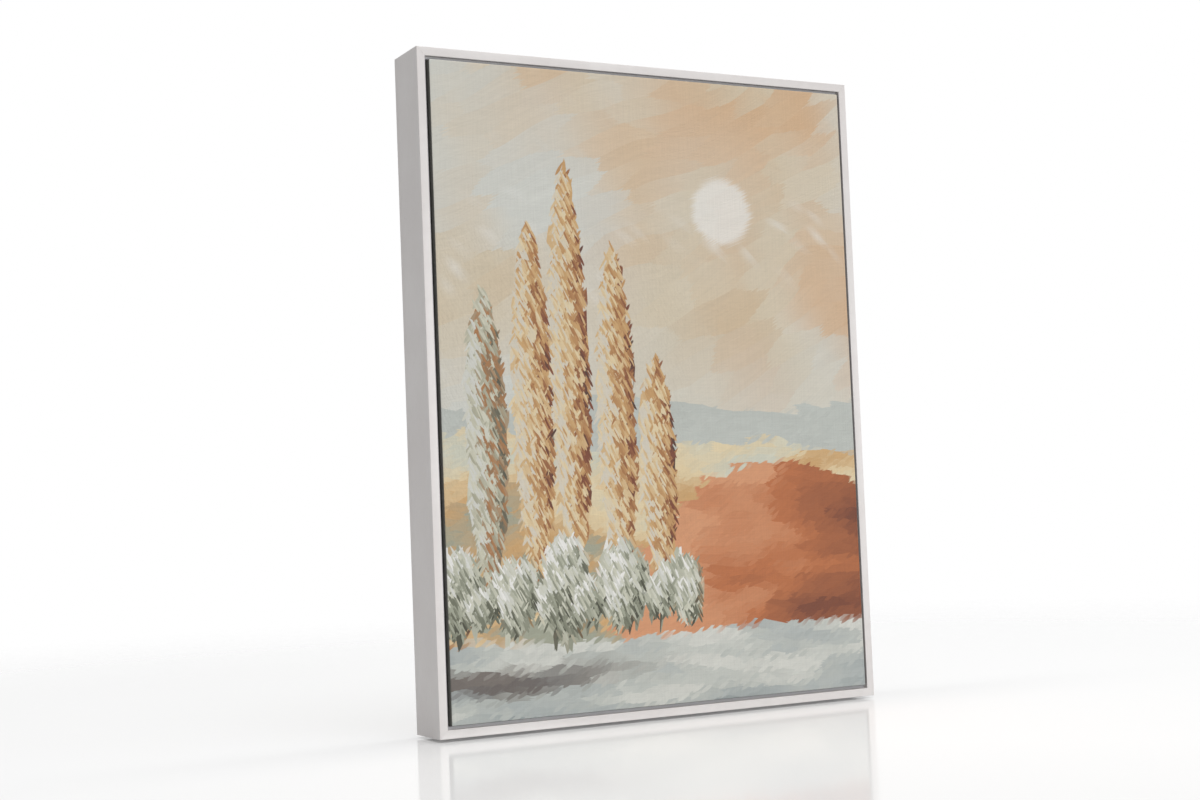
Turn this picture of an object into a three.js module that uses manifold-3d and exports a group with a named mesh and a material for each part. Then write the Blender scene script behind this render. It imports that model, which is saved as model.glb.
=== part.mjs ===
// A stretched canvas in a floater frame: four mitred L-shaped rails hold a keyed stretcher that the
// canvas is wrapped round. A narrow shadow gap with a ledge a little way down it runs all round the
// canvas, whose front stands a little proud of the rails. Two D-ring hangers and two bumpers sit on
// the back.
// Millimetres. +X is to the right seen from the front, the front faces -Y, +Z is up. The origin is the
// middle of the flat bottom face.
import * as THREE from "three";
import { mergeVertices } from "three/addons/utils/BufferGeometryUtils.js";
import Module from "manifold-3d";

const wasm = await Module();
wasm.setup();

// Driving dimensions.
const CANVAS_WIDTH = 457.2; // an 18 by 24 inch canvas
const CANVAS_HEIGHT = 609.6;
const FLOAT_GAP = 3.2; // open gap between the canvas and the rail
const RAIL_FACE = 8.2; // width of the rail's front edge
const RAIL_DEPTH = 55; // front to back
const LEDGE_DEPTH = 5; // from the rail's front edge down to the ledge that closes most of the gap
const LEDGE_WIDTH = 2.4;
const CANVAS_PROUD = 1.6; // the canvas stands this far in front of the rails
const FLANGE_REACH = 38; // from the outer side to the flange's free edge
const BAR_DEPTH = 45; // gallery stretcher, front to back
const BAR_WIDTH = 44;
const BAR_BODY = 18; // thickness of the bar behind its raised rim
const FABRIC = 0.6;
const FLAP_WIDTH = 36; // canvas folded over the back of the bars
const CLEAR = 0.3; // room between pieces that lie against each other
const MITRE_CLEAR = 0.15; // along the rail, at each mitred end
const HOLE_CLEAR = 0.15; // round a screw's shank

// The places that follow from them.
const BORDER = RAIL_FACE + FLOAT_GAP;
const OUTER_WIDTH = CANVAS_WIDTH + 2 * BORDER;
const OUTER_HEIGHT = CANVAS_HEIGHT + 2 * BORDER;
const MIDDLE_Z = OUTER_HEIGHT / 2;
const FRONT_Y = -RAIL_DEPTH / 2;
const BACK_Y = RAIL_DEPTH / 2;
const CANVAS_FRONT_Y = FRONT_Y - CANVAS_PROUD;
const BAR_FRONT_Y = CANVAS_FRONT_Y + FABRIC + CLEAR;
const BAR_BACK_Y = BAR_FRONT_Y + BAR_DEPTH;
const BODY_FRONT_Y = BAR_BACK_Y - BAR_BODY;
const FLAP_BACK_Y = BAR_BACK_Y + CLEAR + FABRIC;
const FLANGE_FRONT_Y = FLAP_BACK_Y + CLEAR;
const LEDGE_Y = FRONT_Y + LEDGE_DEPTH;
const BAR_INSET = BORDER + FABRIC + CLEAR; // from the frame's outer side to the bar's
const STRETCHER_WIDTH = OUTER_WIDTH - 2 * BAR_INSET;
const STRETCHER_HEIGHT = OUTER_HEIGHT - 2 * BAR_INSET;
const INNER_HALF_WIDTH = STRETCHER_WIDTH / 2 - BAR_WIDTH; // half the clear width between the side bars
const INNER_HALF_HEIGHT = STRETCHER_HEIGHT / 2 - BAR_WIDTH;

const white = { color: 0xe4e1de, roughness: 0.42, metalness: 0 };
const pine = { color: 0xd9b98a, roughness: 0.7, metalness: 0 };
const beech = { color: 0xcfa77a, roughness: 0.6, metalness: 0 };
const cloth = { color: 0xd8ccb6, roughness: 0.85, metalness: 0 };
const zinc = { color: 0xb9bcc0, roughness: 0.35, metalness: 1 };
const rubber = { color: 0x2b2b2d, roughness: 0.8, metalness: 0 };

// ---------------------------------------------------------------- solids

function solidOf(geometry, matrix = new THREE.Matrix4()) {
  const bare = geometry.clone().applyMatrix4(matrix);
  bare.deleteAttribute("normal");
  bare.deleteAttribute("uv");
  const merged = mergeVertices(bare, 1e-4);
  return new wasm.Manifold(
    new wasm.Mesh({
      numProp: 3,
      vertProperties: Float32Array.from(merged.attributes.position.array),
      triVerts: Uint32Array.from(merged.index.array),
    }),
  );
}

function geometryOf(solid) {
  const mesh = solid.getMesh();
  const geometry = new THREE.BufferGeometry();
  geometry.setAttribute("position", new THREE.BufferAttribute(mesh.vertProperties, 3));
  geometry.setIndex(new THREE.BufferAttribute(mesh.triVerts, 1));
  geometry.computeVertexNormals();
  return geometry;
}

function joined(...geometries) {
  return geometryOf(geometries.map((g) => solidOf(g)).reduce((a, b) => a.add(b)));
}

function common(a, b) {
  return geometryOf(solidOf(a).intersect(solidOf(b)));
}

function without(geometry, ...cuts) {
  return geometryOf(cuts.reduce((left, cut) => left.subtract(solidOf(cut)), solidOf(geometry)));
}

// Cuts placed shapes out of a placed piece, in the piece's own coordinates.
function carve(piece, cutters) {
  piece.updateWorldMatrix(true, false);
  const toPiece = piece.matrixWorld.clone().invert();
  let solid = solidOf(piece.geometry);
  for (const cutter of cutters) {
    cutter.updateWorldMatrix(true, false);
    solid = solid.subtract(solidOf(cutter.geometry, toPiece.clone().multiply(cutter.matrixWorld)));
  }
  piece.geometry = geometryOf(solid);
}

// ---------------------------------------------------------------- outlines and basic shapes

// A closed outline through corners [x, y, radius], each rounded by its radius.
function outline(corners) {
  const shape = new THREE.Shape();
  const at = corners.map(([x, y]) => new THREE.Vector2(x, y));
  corners.forEach(([, , radius = 0], i) => {
    const corner = at[i];
    const before = at[(i + at.length - 1) % at.length].clone().sub(corner).setLength(radius).add(corner);
    const after = at[(i + 1) % at.length].clone().sub(corner).setLength(radius).add(corner);
    if (i === 0) shape.moveTo(before.x, before.y);
    else shape.lineTo(before.x, before.y);
    if (radius > 0) shape.quadraticCurveTo(corner.x, corner.y, after.x, after.y);
  });
  shape.closePath();
  return shape;
}

function extruded(shape, depth, curveSegments = 3) {
  return new THREE.ExtrudeGeometry(shape, { depth, steps: 1, curveSegments, bevelEnabled: false });
}

// A plan drawn in (x, z) and made thick from y = from to y = to.
function slab(shape, from, to, curveSegments = 6) {
  return extruded(shape, to - from, curveSegments).rotateX(Math.PI / 2).translate(0, to, 0);
}

// A turned piece on the Y axis, through [radius, y] from its front end to its back end.
function turned(profile, sides) {
  const points = profile.map(([radius, y]) => new THREE.Vector2(radius, y));
  return new THREE.LatheGeometry(points, sides);
}

function box(width, from, to, height) {
  return new THREE.BoxGeometry(width, to - from, height).translate(0, (from + to) / 2, 0);
}

function makePiece(name, geometry, finish, parent) {
  const piece = new THREE.Mesh(geometry, new THREE.MeshStandardMaterial(finish));
  piece.name = name;
  parent.add(piece);
  return piece;
}

function at(object, x, y, z, turn = 0) {
  object.position.set(x, y, z);
  object.rotation.y = turn;
  return object;
}

// ---------------------------------------------------------------- mitred lengths

// A section drawn in (distance inward, y) becomes a length along X with 45 degree ends. It lies on its
// outer side, with inward as +Z.
function mitred(section, length) {
  const geometry = extruded(section, 1).rotateY(-Math.PI / 2).translate(0.5, 0, 0);
  const place = geometry.attributes.position;
  for (let i = 0; i < place.count; i++) {
    const half = length / 2 - place.getZ(i) - MITRE_CLEAR;
    place.setX(i, Math.sign(place.getX(i)) * half);
  }
  return geometry;
}

const RAIL_ROUND = { front: 0.9, back: 0.7, flange: 0.5, ledge: 0.3 };
const railSection = outline([
  [0, FRONT_Y, RAIL_ROUND.front],
  [0, BACK_Y, RAIL_ROUND.back],
  [FLANGE_REACH, BACK_Y, RAIL_ROUND.back],
  [FLANGE_REACH, FLANGE_FRONT_Y, RAIL_ROUND.flange],
  [RAIL_FACE + LEDGE_WIDTH, FLANGE_FRONT_Y],
  [RAIL_FACE + LEDGE_WIDTH, LEDGE_Y, RAIL_ROUND.ledge],
  [RAIL_FACE, LEDGE_Y],
  [RAIL_FACE, FRONT_Y, RAIL_ROUND.front],
]);

const RIM_WIDTH = 5;
const RIM_FOOT = 13; // where the slope from the rim meets the body
const BAR_ROUND = { rim: 1.6, back: 1, body: 2 };
const barSection = outline([
  [0, BAR_FRONT_Y, BAR_ROUND.rim],
  [0, BAR_BACK_Y, BAR_ROUND.back],
  [BAR_WIDTH, BAR_BACK_Y, BAR_ROUND.body],
  [BAR_WIDTH, BODY_FRONT_Y, BAR_ROUND.body],
  [RIM_FOOT, BODY_FRONT_Y, BAR_ROUND.body],
  [RIM_WIDTH, BAR_FRONT_Y, BAR_ROUND.rim],
]);

// The four sides: the turn about Y that puts a length there, and the way from the middle to it.
const SIDES = {
  bottom: { turn: 0, x: 0, z: -1 },
  top: { turn: Math.PI, x: 0, z: 1 },
  left: { turn: Math.PI / 2, x: -1, z: 0 },
  right: { turn: -Math.PI / 2, x: 1, z: 0 },
};

function fourSides(prefix, section, width, height, finish, parent) {
  const pieces = {};
  for (const [side, { turn, x, z }] of Object.entries(SIDES)) {
    const geometry = mitred(section, x === 0 ? width : height);
    const piece = makePiece(`${prefix}_${side}`, geometry, finish, parent);
    pieces[side] = at(piece, (x * width) / 2, 0, MIDDLE_Z + (z * height) / 2, turn);
  }
  return pieces;
}

// The four corners: x and z point from the middle to the corner, and turn brings a plan drawn for the
// bottom left corner, where both point inward, to this one.
const CORNERS = {
  bottom_left: { x: -1, z: -1, turn: 0 },
  top_left: { x: -1, z: 1, turn: Math.PI / 2 },
  top_right: { x: 1, z: 1, turn: Math.PI },
  bottom_right: { x: 1, z: -1, turn: -Math.PI / 2 },
};

function atCorner(object, corner, halfWidth, halfHeight) {
  const { x, z, turn } = CORNERS[corner];
  return at(object, x * halfWidth, 0, MIDDLE_Z + z * halfHeight, turn);
}

// ---------------------------------------------------------------- assembly

const model = new THREE.Group();
const frame = new THREE.Group();
const stretcher = new THREE.Group();
const hardware = new THREE.Group();
model.add(frame, stretcher, hardware);

const rails = fourSides("frame_rail", railSection, OUTER_WIDTH, OUTER_HEIGHT, white, frame);
const bars = fourSides("stretcher_bar", barSection, STRETCHER_WIDTH, STRETCHER_HEIGHT, pine, stretcher);

// V-nails: a bent steel strip across each mitre, flush with the back, one in the rail's wall and one in
// its flange.
const NAIL_LEG = 6;
const NAIL_SHEET = 0.8;
const NAILS = {
  wall: { place: 2.6, height: 12 },
  flange: { place: 21, height: 7 },
};

function nailPlan(room) {
  const low = -room;
  const leg = NAIL_LEG + room;
  const sheet = NAIL_SHEET + room;
  return outline([[low, low], [leg, low], [leg, sheet], [sheet, sheet], [sheet, leg], [low, leg]]);
}

const nailCuts = [];
for (const corner of Object.keys(CORNERS)) {
  for (const [part, { place, height }] of Object.entries(NAILS)) {
    const middleWidth = OUTER_WIDTH / 2 - place;
    const middleHeight = OUTER_HEIGHT / 2 - place;
    const nail = makePiece(
      `v_nail_${part}_${corner}`,
      slab(nailPlan(0), BACK_Y - height, BACK_Y - HOLE_CLEAR),
      zinc,
      hardware,
    );
    atCorner(nail, corner, middleWidth, middleHeight);
    const cut = new THREE.Mesh(slab(nailPlan(HOLE_CLEAR), BACK_Y - height - CLEAR, BACK_Y + 1));
    nailCuts.push(atCorner(cut, corner, middleWidth, middleHeight));
  }
}

// Tongues: each bar has one on its right-hand end, seen along +Y with the bar at the bottom, and a slot
// for its neighbour's on the other.
const TONGUE_LENGTH = 12; // past the mitre
const TONGUE_THICK = 4.2;
const TONGUE_COVER = 2.6; // wood left in front of it
const TONGUE_FROM_Y = BODY_FRONT_Y + TONGUE_COVER;
const TONGUE_TO_Y = TONGUE_FROM_Y + TONGUE_THICK;
const TONGUE_EDGE = 7; // kept back from the bar's two long edges
const NEIGHBOURS = { bottom: "right", right: "top", top: "left", left: "bottom" };

function tonguePlan(halfLength, room) {
  const low = TONGUE_EDGE - room;
  const high = BAR_WIDTH - TONGUE_EDGE + room;
  const root = 3 * MITRE_CLEAR;
  return outline([
    [halfLength - low - root, low],
    [halfLength - low + TONGUE_LENGTH / 2 + room, low],
    [halfLength - high + TONGUE_LENGTH / 2 + room, high],
    [halfLength - high - root, high],
  ]);
}

for (const [side, neighbour] of Object.entries(NEIGHBOURS)) {
  const halfLength = (SIDES[side].x === 0 ? STRETCHER_WIDTH : STRETCHER_HEIGHT) / 2;
  const tongue = slab(tonguePlan(halfLength, 0), TONGUE_FROM_Y, TONGUE_TO_Y);
  const slotPlan = tonguePlan(halfLength, CLEAR);
  const slot = new THREE.Mesh(slab(slotPlan, TONGUE_FROM_Y - CLEAR, TONGUE_TO_Y + CLEAR));
  slot.position.copy(bars[side].position);
  slot.rotation.copy(bars[side].rotation);
  carve(bars[neighbour], [slot]);
  bars[side].geometry = joined(bars[side].geometry, tongue);
}

// Corner keys: two wooden wedges in each corner, in slots across the mitre, one above the other and
// fanned a little apart.
const KEY_TIP = 3;
const KEY_TAIL = 13;
const KEY_LENGTH = 30;
const KEY_IN_CORNER = 15; // from the bars' inner corner back to the key's tip
const KEY_FAN = THREE.MathUtils.degToRad(11);
const KEY_THICK = 3;
const KEY_LAYERS = { inner: 1, outer: 5.6 }; // from the tongue to each key's front
const KEYS = {
  inner: { from: TONGUE_TO_Y + KEY_LAYERS.inner, fan: -KEY_FAN },
  outer: { from: TONGUE_TO_Y + KEY_LAYERS.outer, fan: KEY_FAN },
};

function keyPlan(room) {
  const tip = KEY_TIP / 2 + room;
  const tail = KEY_TAIL / 2 + room;
  return outline([[-room, -tip, 1], [KEY_LENGTH, -tail, 1.5], [KEY_LENGTH, tail, 1.5], [-room, tip, 1]]);
}

// A wedge drawn along +X is pushed back along its own length, then turned up towards the middle of the
// frame.
function keyShape(room, { from, fan }) {
  const plan = slab(keyPlan(room), from - room, from + KEY_THICK + room, 3);
  return plan.translate(-KEY_IN_CORNER, 0, 0).rotateY(-Math.PI / 4 - fan);
}

const keyCuts = [];
for (const corner of Object.keys(CORNERS)) {
  for (const [part, seat] of Object.entries(KEYS)) {
    const key = makePiece(`corner_key_${part}_${corner}`, keyShape(0, seat), beech, stretcher);
    atCorner(key, corner, INNER_HALF_WIDTH, INNER_HALF_HEIGHT);
    const cut = new THREE.Mesh(keyShape(CLEAR, seat));
    keyCuts.push(atCorner(cut, corner, INNER_HALF_WIDTH, INNER_HALF_HEIGHT));
  }
}

// Cross brace: a flat board across the middle, with a tenon in each side bar.
const BRACE_HEIGHT = 44;
const BRACE_SET_BACK = { front: 2, back: 1 }; // from the bars' own faces
const BRACE_FRONT_Y = BODY_FRONT_Y + BRACE_SET_BACK.front;
const BRACE_BACK_Y = BAR_BACK_Y - BRACE_SET_BACK.back;
const TENON_LENGTH = 14;
const TENON_HEIGHT = 28;
const TENON_THICK = 6;
const tenonFrom = (BRACE_FRONT_Y + BRACE_BACK_Y - TENON_THICK) / 2;

function tenonShape(room) {
  const width = 2 * (INNER_HALF_WIDTH + TENON_LENGTH + room);
  return box(width, tenonFrom - room, tenonFrom + TENON_THICK + room, TENON_HEIGHT + 2 * room);
}

const brace = makePiece(
  "stretcher_cross_brace",
  joined(box(2 * (INNER_HALF_WIDTH - CLEAR), BRACE_FRONT_Y, BRACE_BACK_Y, BRACE_HEIGHT), tenonShape(0)),
  pine,
  stretcher,
);
at(brace, 0, 0, MIDDLE_Z);
const tenonCut = at(new THREE.Mesh(tenonShape(CLEAR)), 0, 0, MIDDLE_Z);

// The canvas: a front sheet, four sides and the flaps folded over the back of the bars.
const canvasBlock = (inset, from, to) =>
  box(CANVAS_WIDTH - 2 * inset, from, to, CANVAS_HEIGHT - 2 * inset);
const canvas = makePiece(
  "canvas",
  without(
    canvasBlock(0, CANVAS_FRONT_Y, FLAP_BACK_Y),
    canvasBlock(FABRIC, CANVAS_FRONT_Y + FABRIC, FLAP_BACK_Y - FABRIC),
    canvasBlock(FLAP_WIDTH, BAR_BACK_Y, FLAP_BACK_Y + 1),
  ),
  cloth,
  stretcher,
);
at(canvas, 0, 0, MIDDLE_Z);

// ---------------------------------------------------------------- screws

// A screw along Y: profile from the tip at the front to the head at the back, with a cross recess.
const CROSS_WIDTH = 0.9;

function screwShape(profile, sides, cross) {
  const top = profile[profile.length - 1][1];
  const arm = (width, height) => box(width, top - cross.depth, top + 1, height);
  return without(turned(profile, sides), arm(cross.length, CROSS_WIDTH), arm(CROSS_WIDTH, cross.length));
}

// Countersunk mounting screws, through the flange and the folded canvas into the bars.
const MOUNTING = { head: 4, headDepth: 2.4, headRim: 0.3, shank: 1.9, point: 4, length: 25, sides: 16 };
const MOUNTING_CROSS = { depth: 1.8, length: 4.2 };
const mountingTop = BACK_Y - HOLE_CLEAR;
const mountingTip = mountingTop - MOUNTING.length;
const mountingScrew = screwShape(
  [
    [0, mountingTip],
    [MOUNTING.shank, mountingTip + MOUNTING.point],
    [MOUNTING.shank, mountingTop - MOUNTING.headDepth],
    [MOUNTING.head, mountingTop - MOUNTING.headRim],
    [MOUNTING.head, mountingTop],
    [0, mountingTop],
  ],
  MOUNTING.sides,
  MOUNTING_CROSS,
);
const mountingHole = turned(
  [
    [0, mountingTip - CLEAR],
    [MOUNTING.shank + HOLE_CLEAR, mountingTip + MOUNTING.point - CLEAR],
    [MOUNTING.shank + HOLE_CLEAR, mountingTop - MOUNTING.headDepth - HOLE_CLEAR],
    [MOUNTING.head + HOLE_CLEAR, mountingTop - MOUNTING.headRim - HOLE_CLEAR],
    [MOUNTING.head + HOLE_CLEAR, BACK_Y + 1],
    [0, BACK_Y + 1],
  ],
  MOUNTING.sides,
);
const SCREW_INSET = 27; // from the frame's outer side
const SCREW_SPREAD_X = 120; // from the middle, along the top and the bottom rail
const SCREW_SPREAD_Z = 205; // from the middle, along the side rails
const screwX = OUTER_WIDTH / 2 - SCREW_INSET;
const screwZ = OUTER_HEIGHT / 2 - SCREW_INSET;
const mountingPlaces = {};
for (const [upDown, z] of [["bottom", -1], ["top", 1]]) {
  for (const [leftRight, x] of [["left", -1], ["right", 1]]) {
    mountingPlaces[`${upDown}_rail_${leftRight}`] = [x * SCREW_SPREAD_X, MIDDLE_Z + z * screwZ];
    mountingPlaces[`${leftRight}_rail_${upDown}`] = [x * screwX, MIDDLE_Z + z * SCREW_SPREAD_Z];
  }
}
const mountingCuts = [];
for (const [place, [x, z]] of Object.entries(mountingPlaces)) {
  at(makePiece(`mounting_screw_${place}`, mountingScrew, zinc, hardware), x, 0, z);
  mountingCuts.push(at(new THREE.Mesh(mountingHole), x, 0, z));
}

// ---------------------------------------------------------------- hangers

// A strip of steel folded round the straight bar of a D-shaped ring and screwed to the flange, below
// the ring's pivot. The pivot is the local origin here, with the frame's back SURFACE behind it.
const STRAP_WIDTH = 10;
const STRAP_THICK = 1.6; // two layers
const STRAP_LENGTH = 36;
const WIRE_RADIUS = 1.1;
const EYE_RADIUS = 1.25;
const BARREL_RADIUS = 2.05;
const WIRE_SIDES = 12;
const SURFACE = -BARREL_RADIUS;
const HANGER_INSET = 23; // from the frame's outer side
const HANGER_Z = 480;
const STRAP_SCREWS = { upper: -22, lower: -31 }; // below the pivot, clear of the folded ring
const STRAP_SCREW = { head: 2.9, headHeight: 1.7, shank: 1.3, point: 2.5, length: 10, sides: 14 };
const STRAP_CROSS = { depth: 1.2, length: 3 };
const STRAP_HOLE_RADIUS = STRAP_SCREW.shank + HOLE_CLEAR;

// The strap's side, drawn in (z, y) and made as wide as the strap along X.
function strapSide() {
  const meet = Math.sqrt(BARREL_RADIUS ** 2 - (BARREL_RADIUS - STRAP_THICK) ** 2);
  const meetAngle = Math.atan2(SURFACE + STRAP_THICK, -meet);
  const side = new THREE.Shape();
  side.moveTo(-STRAP_LENGTH, SURFACE);
  side.lineTo(0, SURFACE);
  side.absarc(0, 0, BARREL_RADIUS, -Math.PI / 2, meetAngle + 2 * Math.PI, false);
  side.lineTo(-STRAP_LENGTH, SURFACE + STRAP_THICK);
  side.closePath();
  const eye = new THREE.Path();
  eye.absarc(0, 0, EYE_RADIUS, 0, 2 * Math.PI, true);
  side.holes.push(eye);
  return extruded(side, STRAP_WIDTH, 20).rotateY(-Math.PI / 2).translate(STRAP_WIDTH / 2, 0, 0);
}

const STRAP_END_ROUND = 4.5;
const STRAP_TOP_Z = 4; // above the folded eye
const strapPlan = outline([
  [-STRAP_WIDTH / 2, STRAP_TOP_Z],
  [-STRAP_WIDTH / 2, -STRAP_LENGTH, STRAP_END_ROUND],
  [STRAP_WIDTH / 2, -STRAP_LENGTH, STRAP_END_ROUND],
  [STRAP_WIDTH / 2, STRAP_TOP_Z],
]);

function drill(radius, from, to, z) {
  return turned([[0, from], [radius, from], [radius, to], [0, to]], STRAP_SCREW.sides).translate(0, 0, z);
}

const strapShape = without(
  common(strapSide(), slab(strapPlan, SURFACE - 1, BARREL_RADIUS + 1)),
  ...Object.values(STRAP_SCREWS).map((z) => drill(STRAP_HOLE_RADIUS, SURFACE - 1, BARREL_RADIUS, z)),
);

// The ring hangs from its straight bar. Folded down, its bow lies on the strap, so it leans out a little.
const RING_HALF_WIDTH = 7.3; // to the middle of the wire
const RING_LEG = 8.5; // from the pivot to where the bow starts
const RING_LEAN = THREE.MathUtils.degToRad(4.5);
const RING_SEGMENTS = 22;

function ringShape() {
  const bow = new THREE.CurvePath();
  const left = new THREE.Vector3(-RING_HALF_WIDTH, 0, 0);
  const leftFoot = new THREE.Vector3(-RING_HALF_WIDTH, 0, -RING_LEG);
  const right = new THREE.Vector3(RING_HALF_WIDTH, 0, 0);
  const rightFoot = new THREE.Vector3(RING_HALF_WIDTH, 0, -RING_LEG);
  const control = (foot) => foot.clone().setZ(-RING_LEG - RING_HALF_WIDTH * (4 / 3));
  bow.add(new THREE.LineCurve3(left, leftFoot));
  bow.add(new THREE.CubicBezierCurve3(leftFoot, control(leftFoot), control(rightFoot), rightFoot));
  bow.add(new THREE.LineCurve3(rightFoot, right));
  const wire = new THREE.Shape().absarc(0, 0, WIRE_RADIUS, 0, 2 * Math.PI);
  const tube = new THREE.ExtrudeGeometry(wire, {
    steps: RING_SEGMENTS,
    curveSegments: WIRE_SIDES / 2,
    extrudePath: bow,
  });
  const barLength = 2 * (RING_HALF_WIDTH + WIRE_RADIUS);
  const bar = new THREE.CylinderGeometry(WIRE_RADIUS, WIRE_RADIUS, barLength, WIRE_SIDES);
  return joined(tube, bar.rotateZ(Math.PI / 2)).rotateX(RING_LEAN);
}

const strapTop = SURFACE + STRAP_THICK;
const strapScrewTip = strapTop - STRAP_SCREW.length;
const strapScrewShape = screwShape(
  [
    [0, strapScrewTip],
    [STRAP_SCREW.shank, strapScrewTip + STRAP_SCREW.point],
    [STRAP_SCREW.shank, strapTop],
    [STRAP_SCREW.head, strapTop],
    [STRAP_SCREW.head * 0.93, strapTop + STRAP_SCREW.headHeight / 2],
    [STRAP_SCREW.head * 0.6, strapTop + STRAP_SCREW.headHeight],
    [0, strapTop + STRAP_SCREW.headHeight],
  ],
  STRAP_SCREW.sides,
  STRAP_CROSS,
);

const hangerCuts = [];
for (const [side, x] of [["left", -1], ["right", 1]]) {
  const hanger = at(new THREE.Group(), x * (OUTER_WIDTH / 2 - HANGER_INSET), BACK_Y - SURFACE, HANGER_Z);
  hardware.add(hanger);
  makePiece(`hanger_strap_${side}`, strapShape, zinc, hanger);
  makePiece(`hanger_ring_${side}`, ringShape(), zinc, hanger);
  for (const [part, z] of Object.entries(STRAP_SCREWS)) {
    at(makePiece(`hanger_screw_${side}_${part}`, strapScrewShape, zinc, hanger), 0, 0, z);
    const hole = new THREE.Mesh(drill(STRAP_HOLE_RADIUS, strapScrewTip - CLEAR, strapTop, z));
    hanger.updateWorldMatrix(true, false);
    hole.applyMatrix4(hanger.matrixWorld);
    hangerCuts.push(hole);
  }
}

// ---------------------------------------------------------------- bumpers

const BUMPER = { radius: 5.5, height: 3.4, wall: 2, domeRadius: 4, inset: 23, z: 45, sides: 24 };
const bumperShape = turned(
  [
    [0, 0],
    [BUMPER.radius, 0],
    [BUMPER.radius, BUMPER.wall],
    [(BUMPER.radius * 2 + BUMPER.domeRadius) / 3, (BUMPER.wall + BUMPER.height * 2) / 3],
    [BUMPER.domeRadius, BUMPER.height],
    [0, BUMPER.height],
  ],
  BUMPER.sides,
);
for (const [side, x] of [["left", -1], ["right", 1]]) {
  const bumper = makePiece(`wall_bumper_${side}`, bumperShape, rubber, hardware);
  at(bumper, x * (OUTER_WIDTH / 2 - BUMPER.inset), BACK_Y, BUMPER.z);
}

// ---------------------------------------------------------------- holes and pockets

for (const rail of Object.values(rails)) carve(rail, [...nailCuts, ...mountingCuts, ...hangerCuts]);
for (const bar of Object.values(bars)) carve(bar, [...keyCuts, ...mountingCuts, tenonCut]);
carve(canvas, mountingCuts);

export default model;
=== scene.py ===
"""The looks of a stretched canvas in a white floater frame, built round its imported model.

Metres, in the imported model's own frame: +X is to the right seen from the front, the front faces -Y
and +Z is up. The origin is the middle of the flat bottom face.
"""
import contextlib
import math
import random
from collections import namedtuple

import bmesh
import bpy
from mathutils import Matrix, Vector, noise


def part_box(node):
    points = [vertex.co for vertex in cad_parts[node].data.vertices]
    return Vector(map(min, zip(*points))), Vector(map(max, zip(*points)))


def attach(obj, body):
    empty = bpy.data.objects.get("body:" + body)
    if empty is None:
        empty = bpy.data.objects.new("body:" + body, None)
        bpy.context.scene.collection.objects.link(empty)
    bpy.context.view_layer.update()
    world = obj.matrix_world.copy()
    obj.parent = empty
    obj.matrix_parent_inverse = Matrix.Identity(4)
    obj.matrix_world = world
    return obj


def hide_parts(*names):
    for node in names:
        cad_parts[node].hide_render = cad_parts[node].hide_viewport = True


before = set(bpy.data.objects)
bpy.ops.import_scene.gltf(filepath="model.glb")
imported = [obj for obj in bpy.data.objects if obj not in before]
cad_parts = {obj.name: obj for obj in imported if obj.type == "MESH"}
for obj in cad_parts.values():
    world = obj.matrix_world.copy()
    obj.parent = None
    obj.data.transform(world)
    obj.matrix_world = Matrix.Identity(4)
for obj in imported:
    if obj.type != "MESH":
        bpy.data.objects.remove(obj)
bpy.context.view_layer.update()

MM = 0.001
NEAR = 0.1 * MM  # places that are closer than this count as one
DOUBLED = 0.001 * MM  # vertices that are closer than this are merged
SIDES = ("bottom", "right", "top", "left")

# ---------------------------------------------------------------- sizes, most of them read off the frame

OUTER_HALF_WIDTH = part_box("frame_rail_right")[1].x
OUTER_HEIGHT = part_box("frame_rail_top")[1].z
MIDDLE_Z = OUTER_HEIGHT / 2
FRONT_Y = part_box("frame_rail_bottom")[0].y
BACK_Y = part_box("frame_rail_bottom")[1].y
FLANGE_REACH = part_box("frame_rail_bottom")[1].z
RAIL_FACE = 8.2 * MM
LEDGE_Y = FRONT_Y + 5 * MM  # a ledge down in the gap closes most of it
LEDGE_WIDTH = 2.4 * MM
MITRE_GAP = 0.03 * MM

CANVAS_LOW, CANVAS_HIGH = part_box("canvas")
FLANGE_FRONT_Y = CANVAS_HIGH.y + 0.3 * MM  # the flange lies this far behind the folded canvas
CANVAS_WIDTH = CANVAS_HIGH.x - CANVAS_LOW.x
CANVAS_HEIGHT = CANVAS_HIGH.z - CANVAS_LOW.z
CANVAS_THICK = 0.6 * MM
FLAP_WIDTH = 36 * MM
THREAD_PITCH = 0.75  # millimetres from one thread of the weave to the next

BAR_INNER_HALF_WIDTH = 183.7 * MM
BAR_INNER_HALF_HEIGHT = 259.9 * MM

SMOOTH_BELOW = 40  # degrees between two faces
LARGE_FACE = (10 * MM) ** 2  # a face larger than this is one side of a board, and shades flat


# ---------------------------------------------------------------- shader maths


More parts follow.
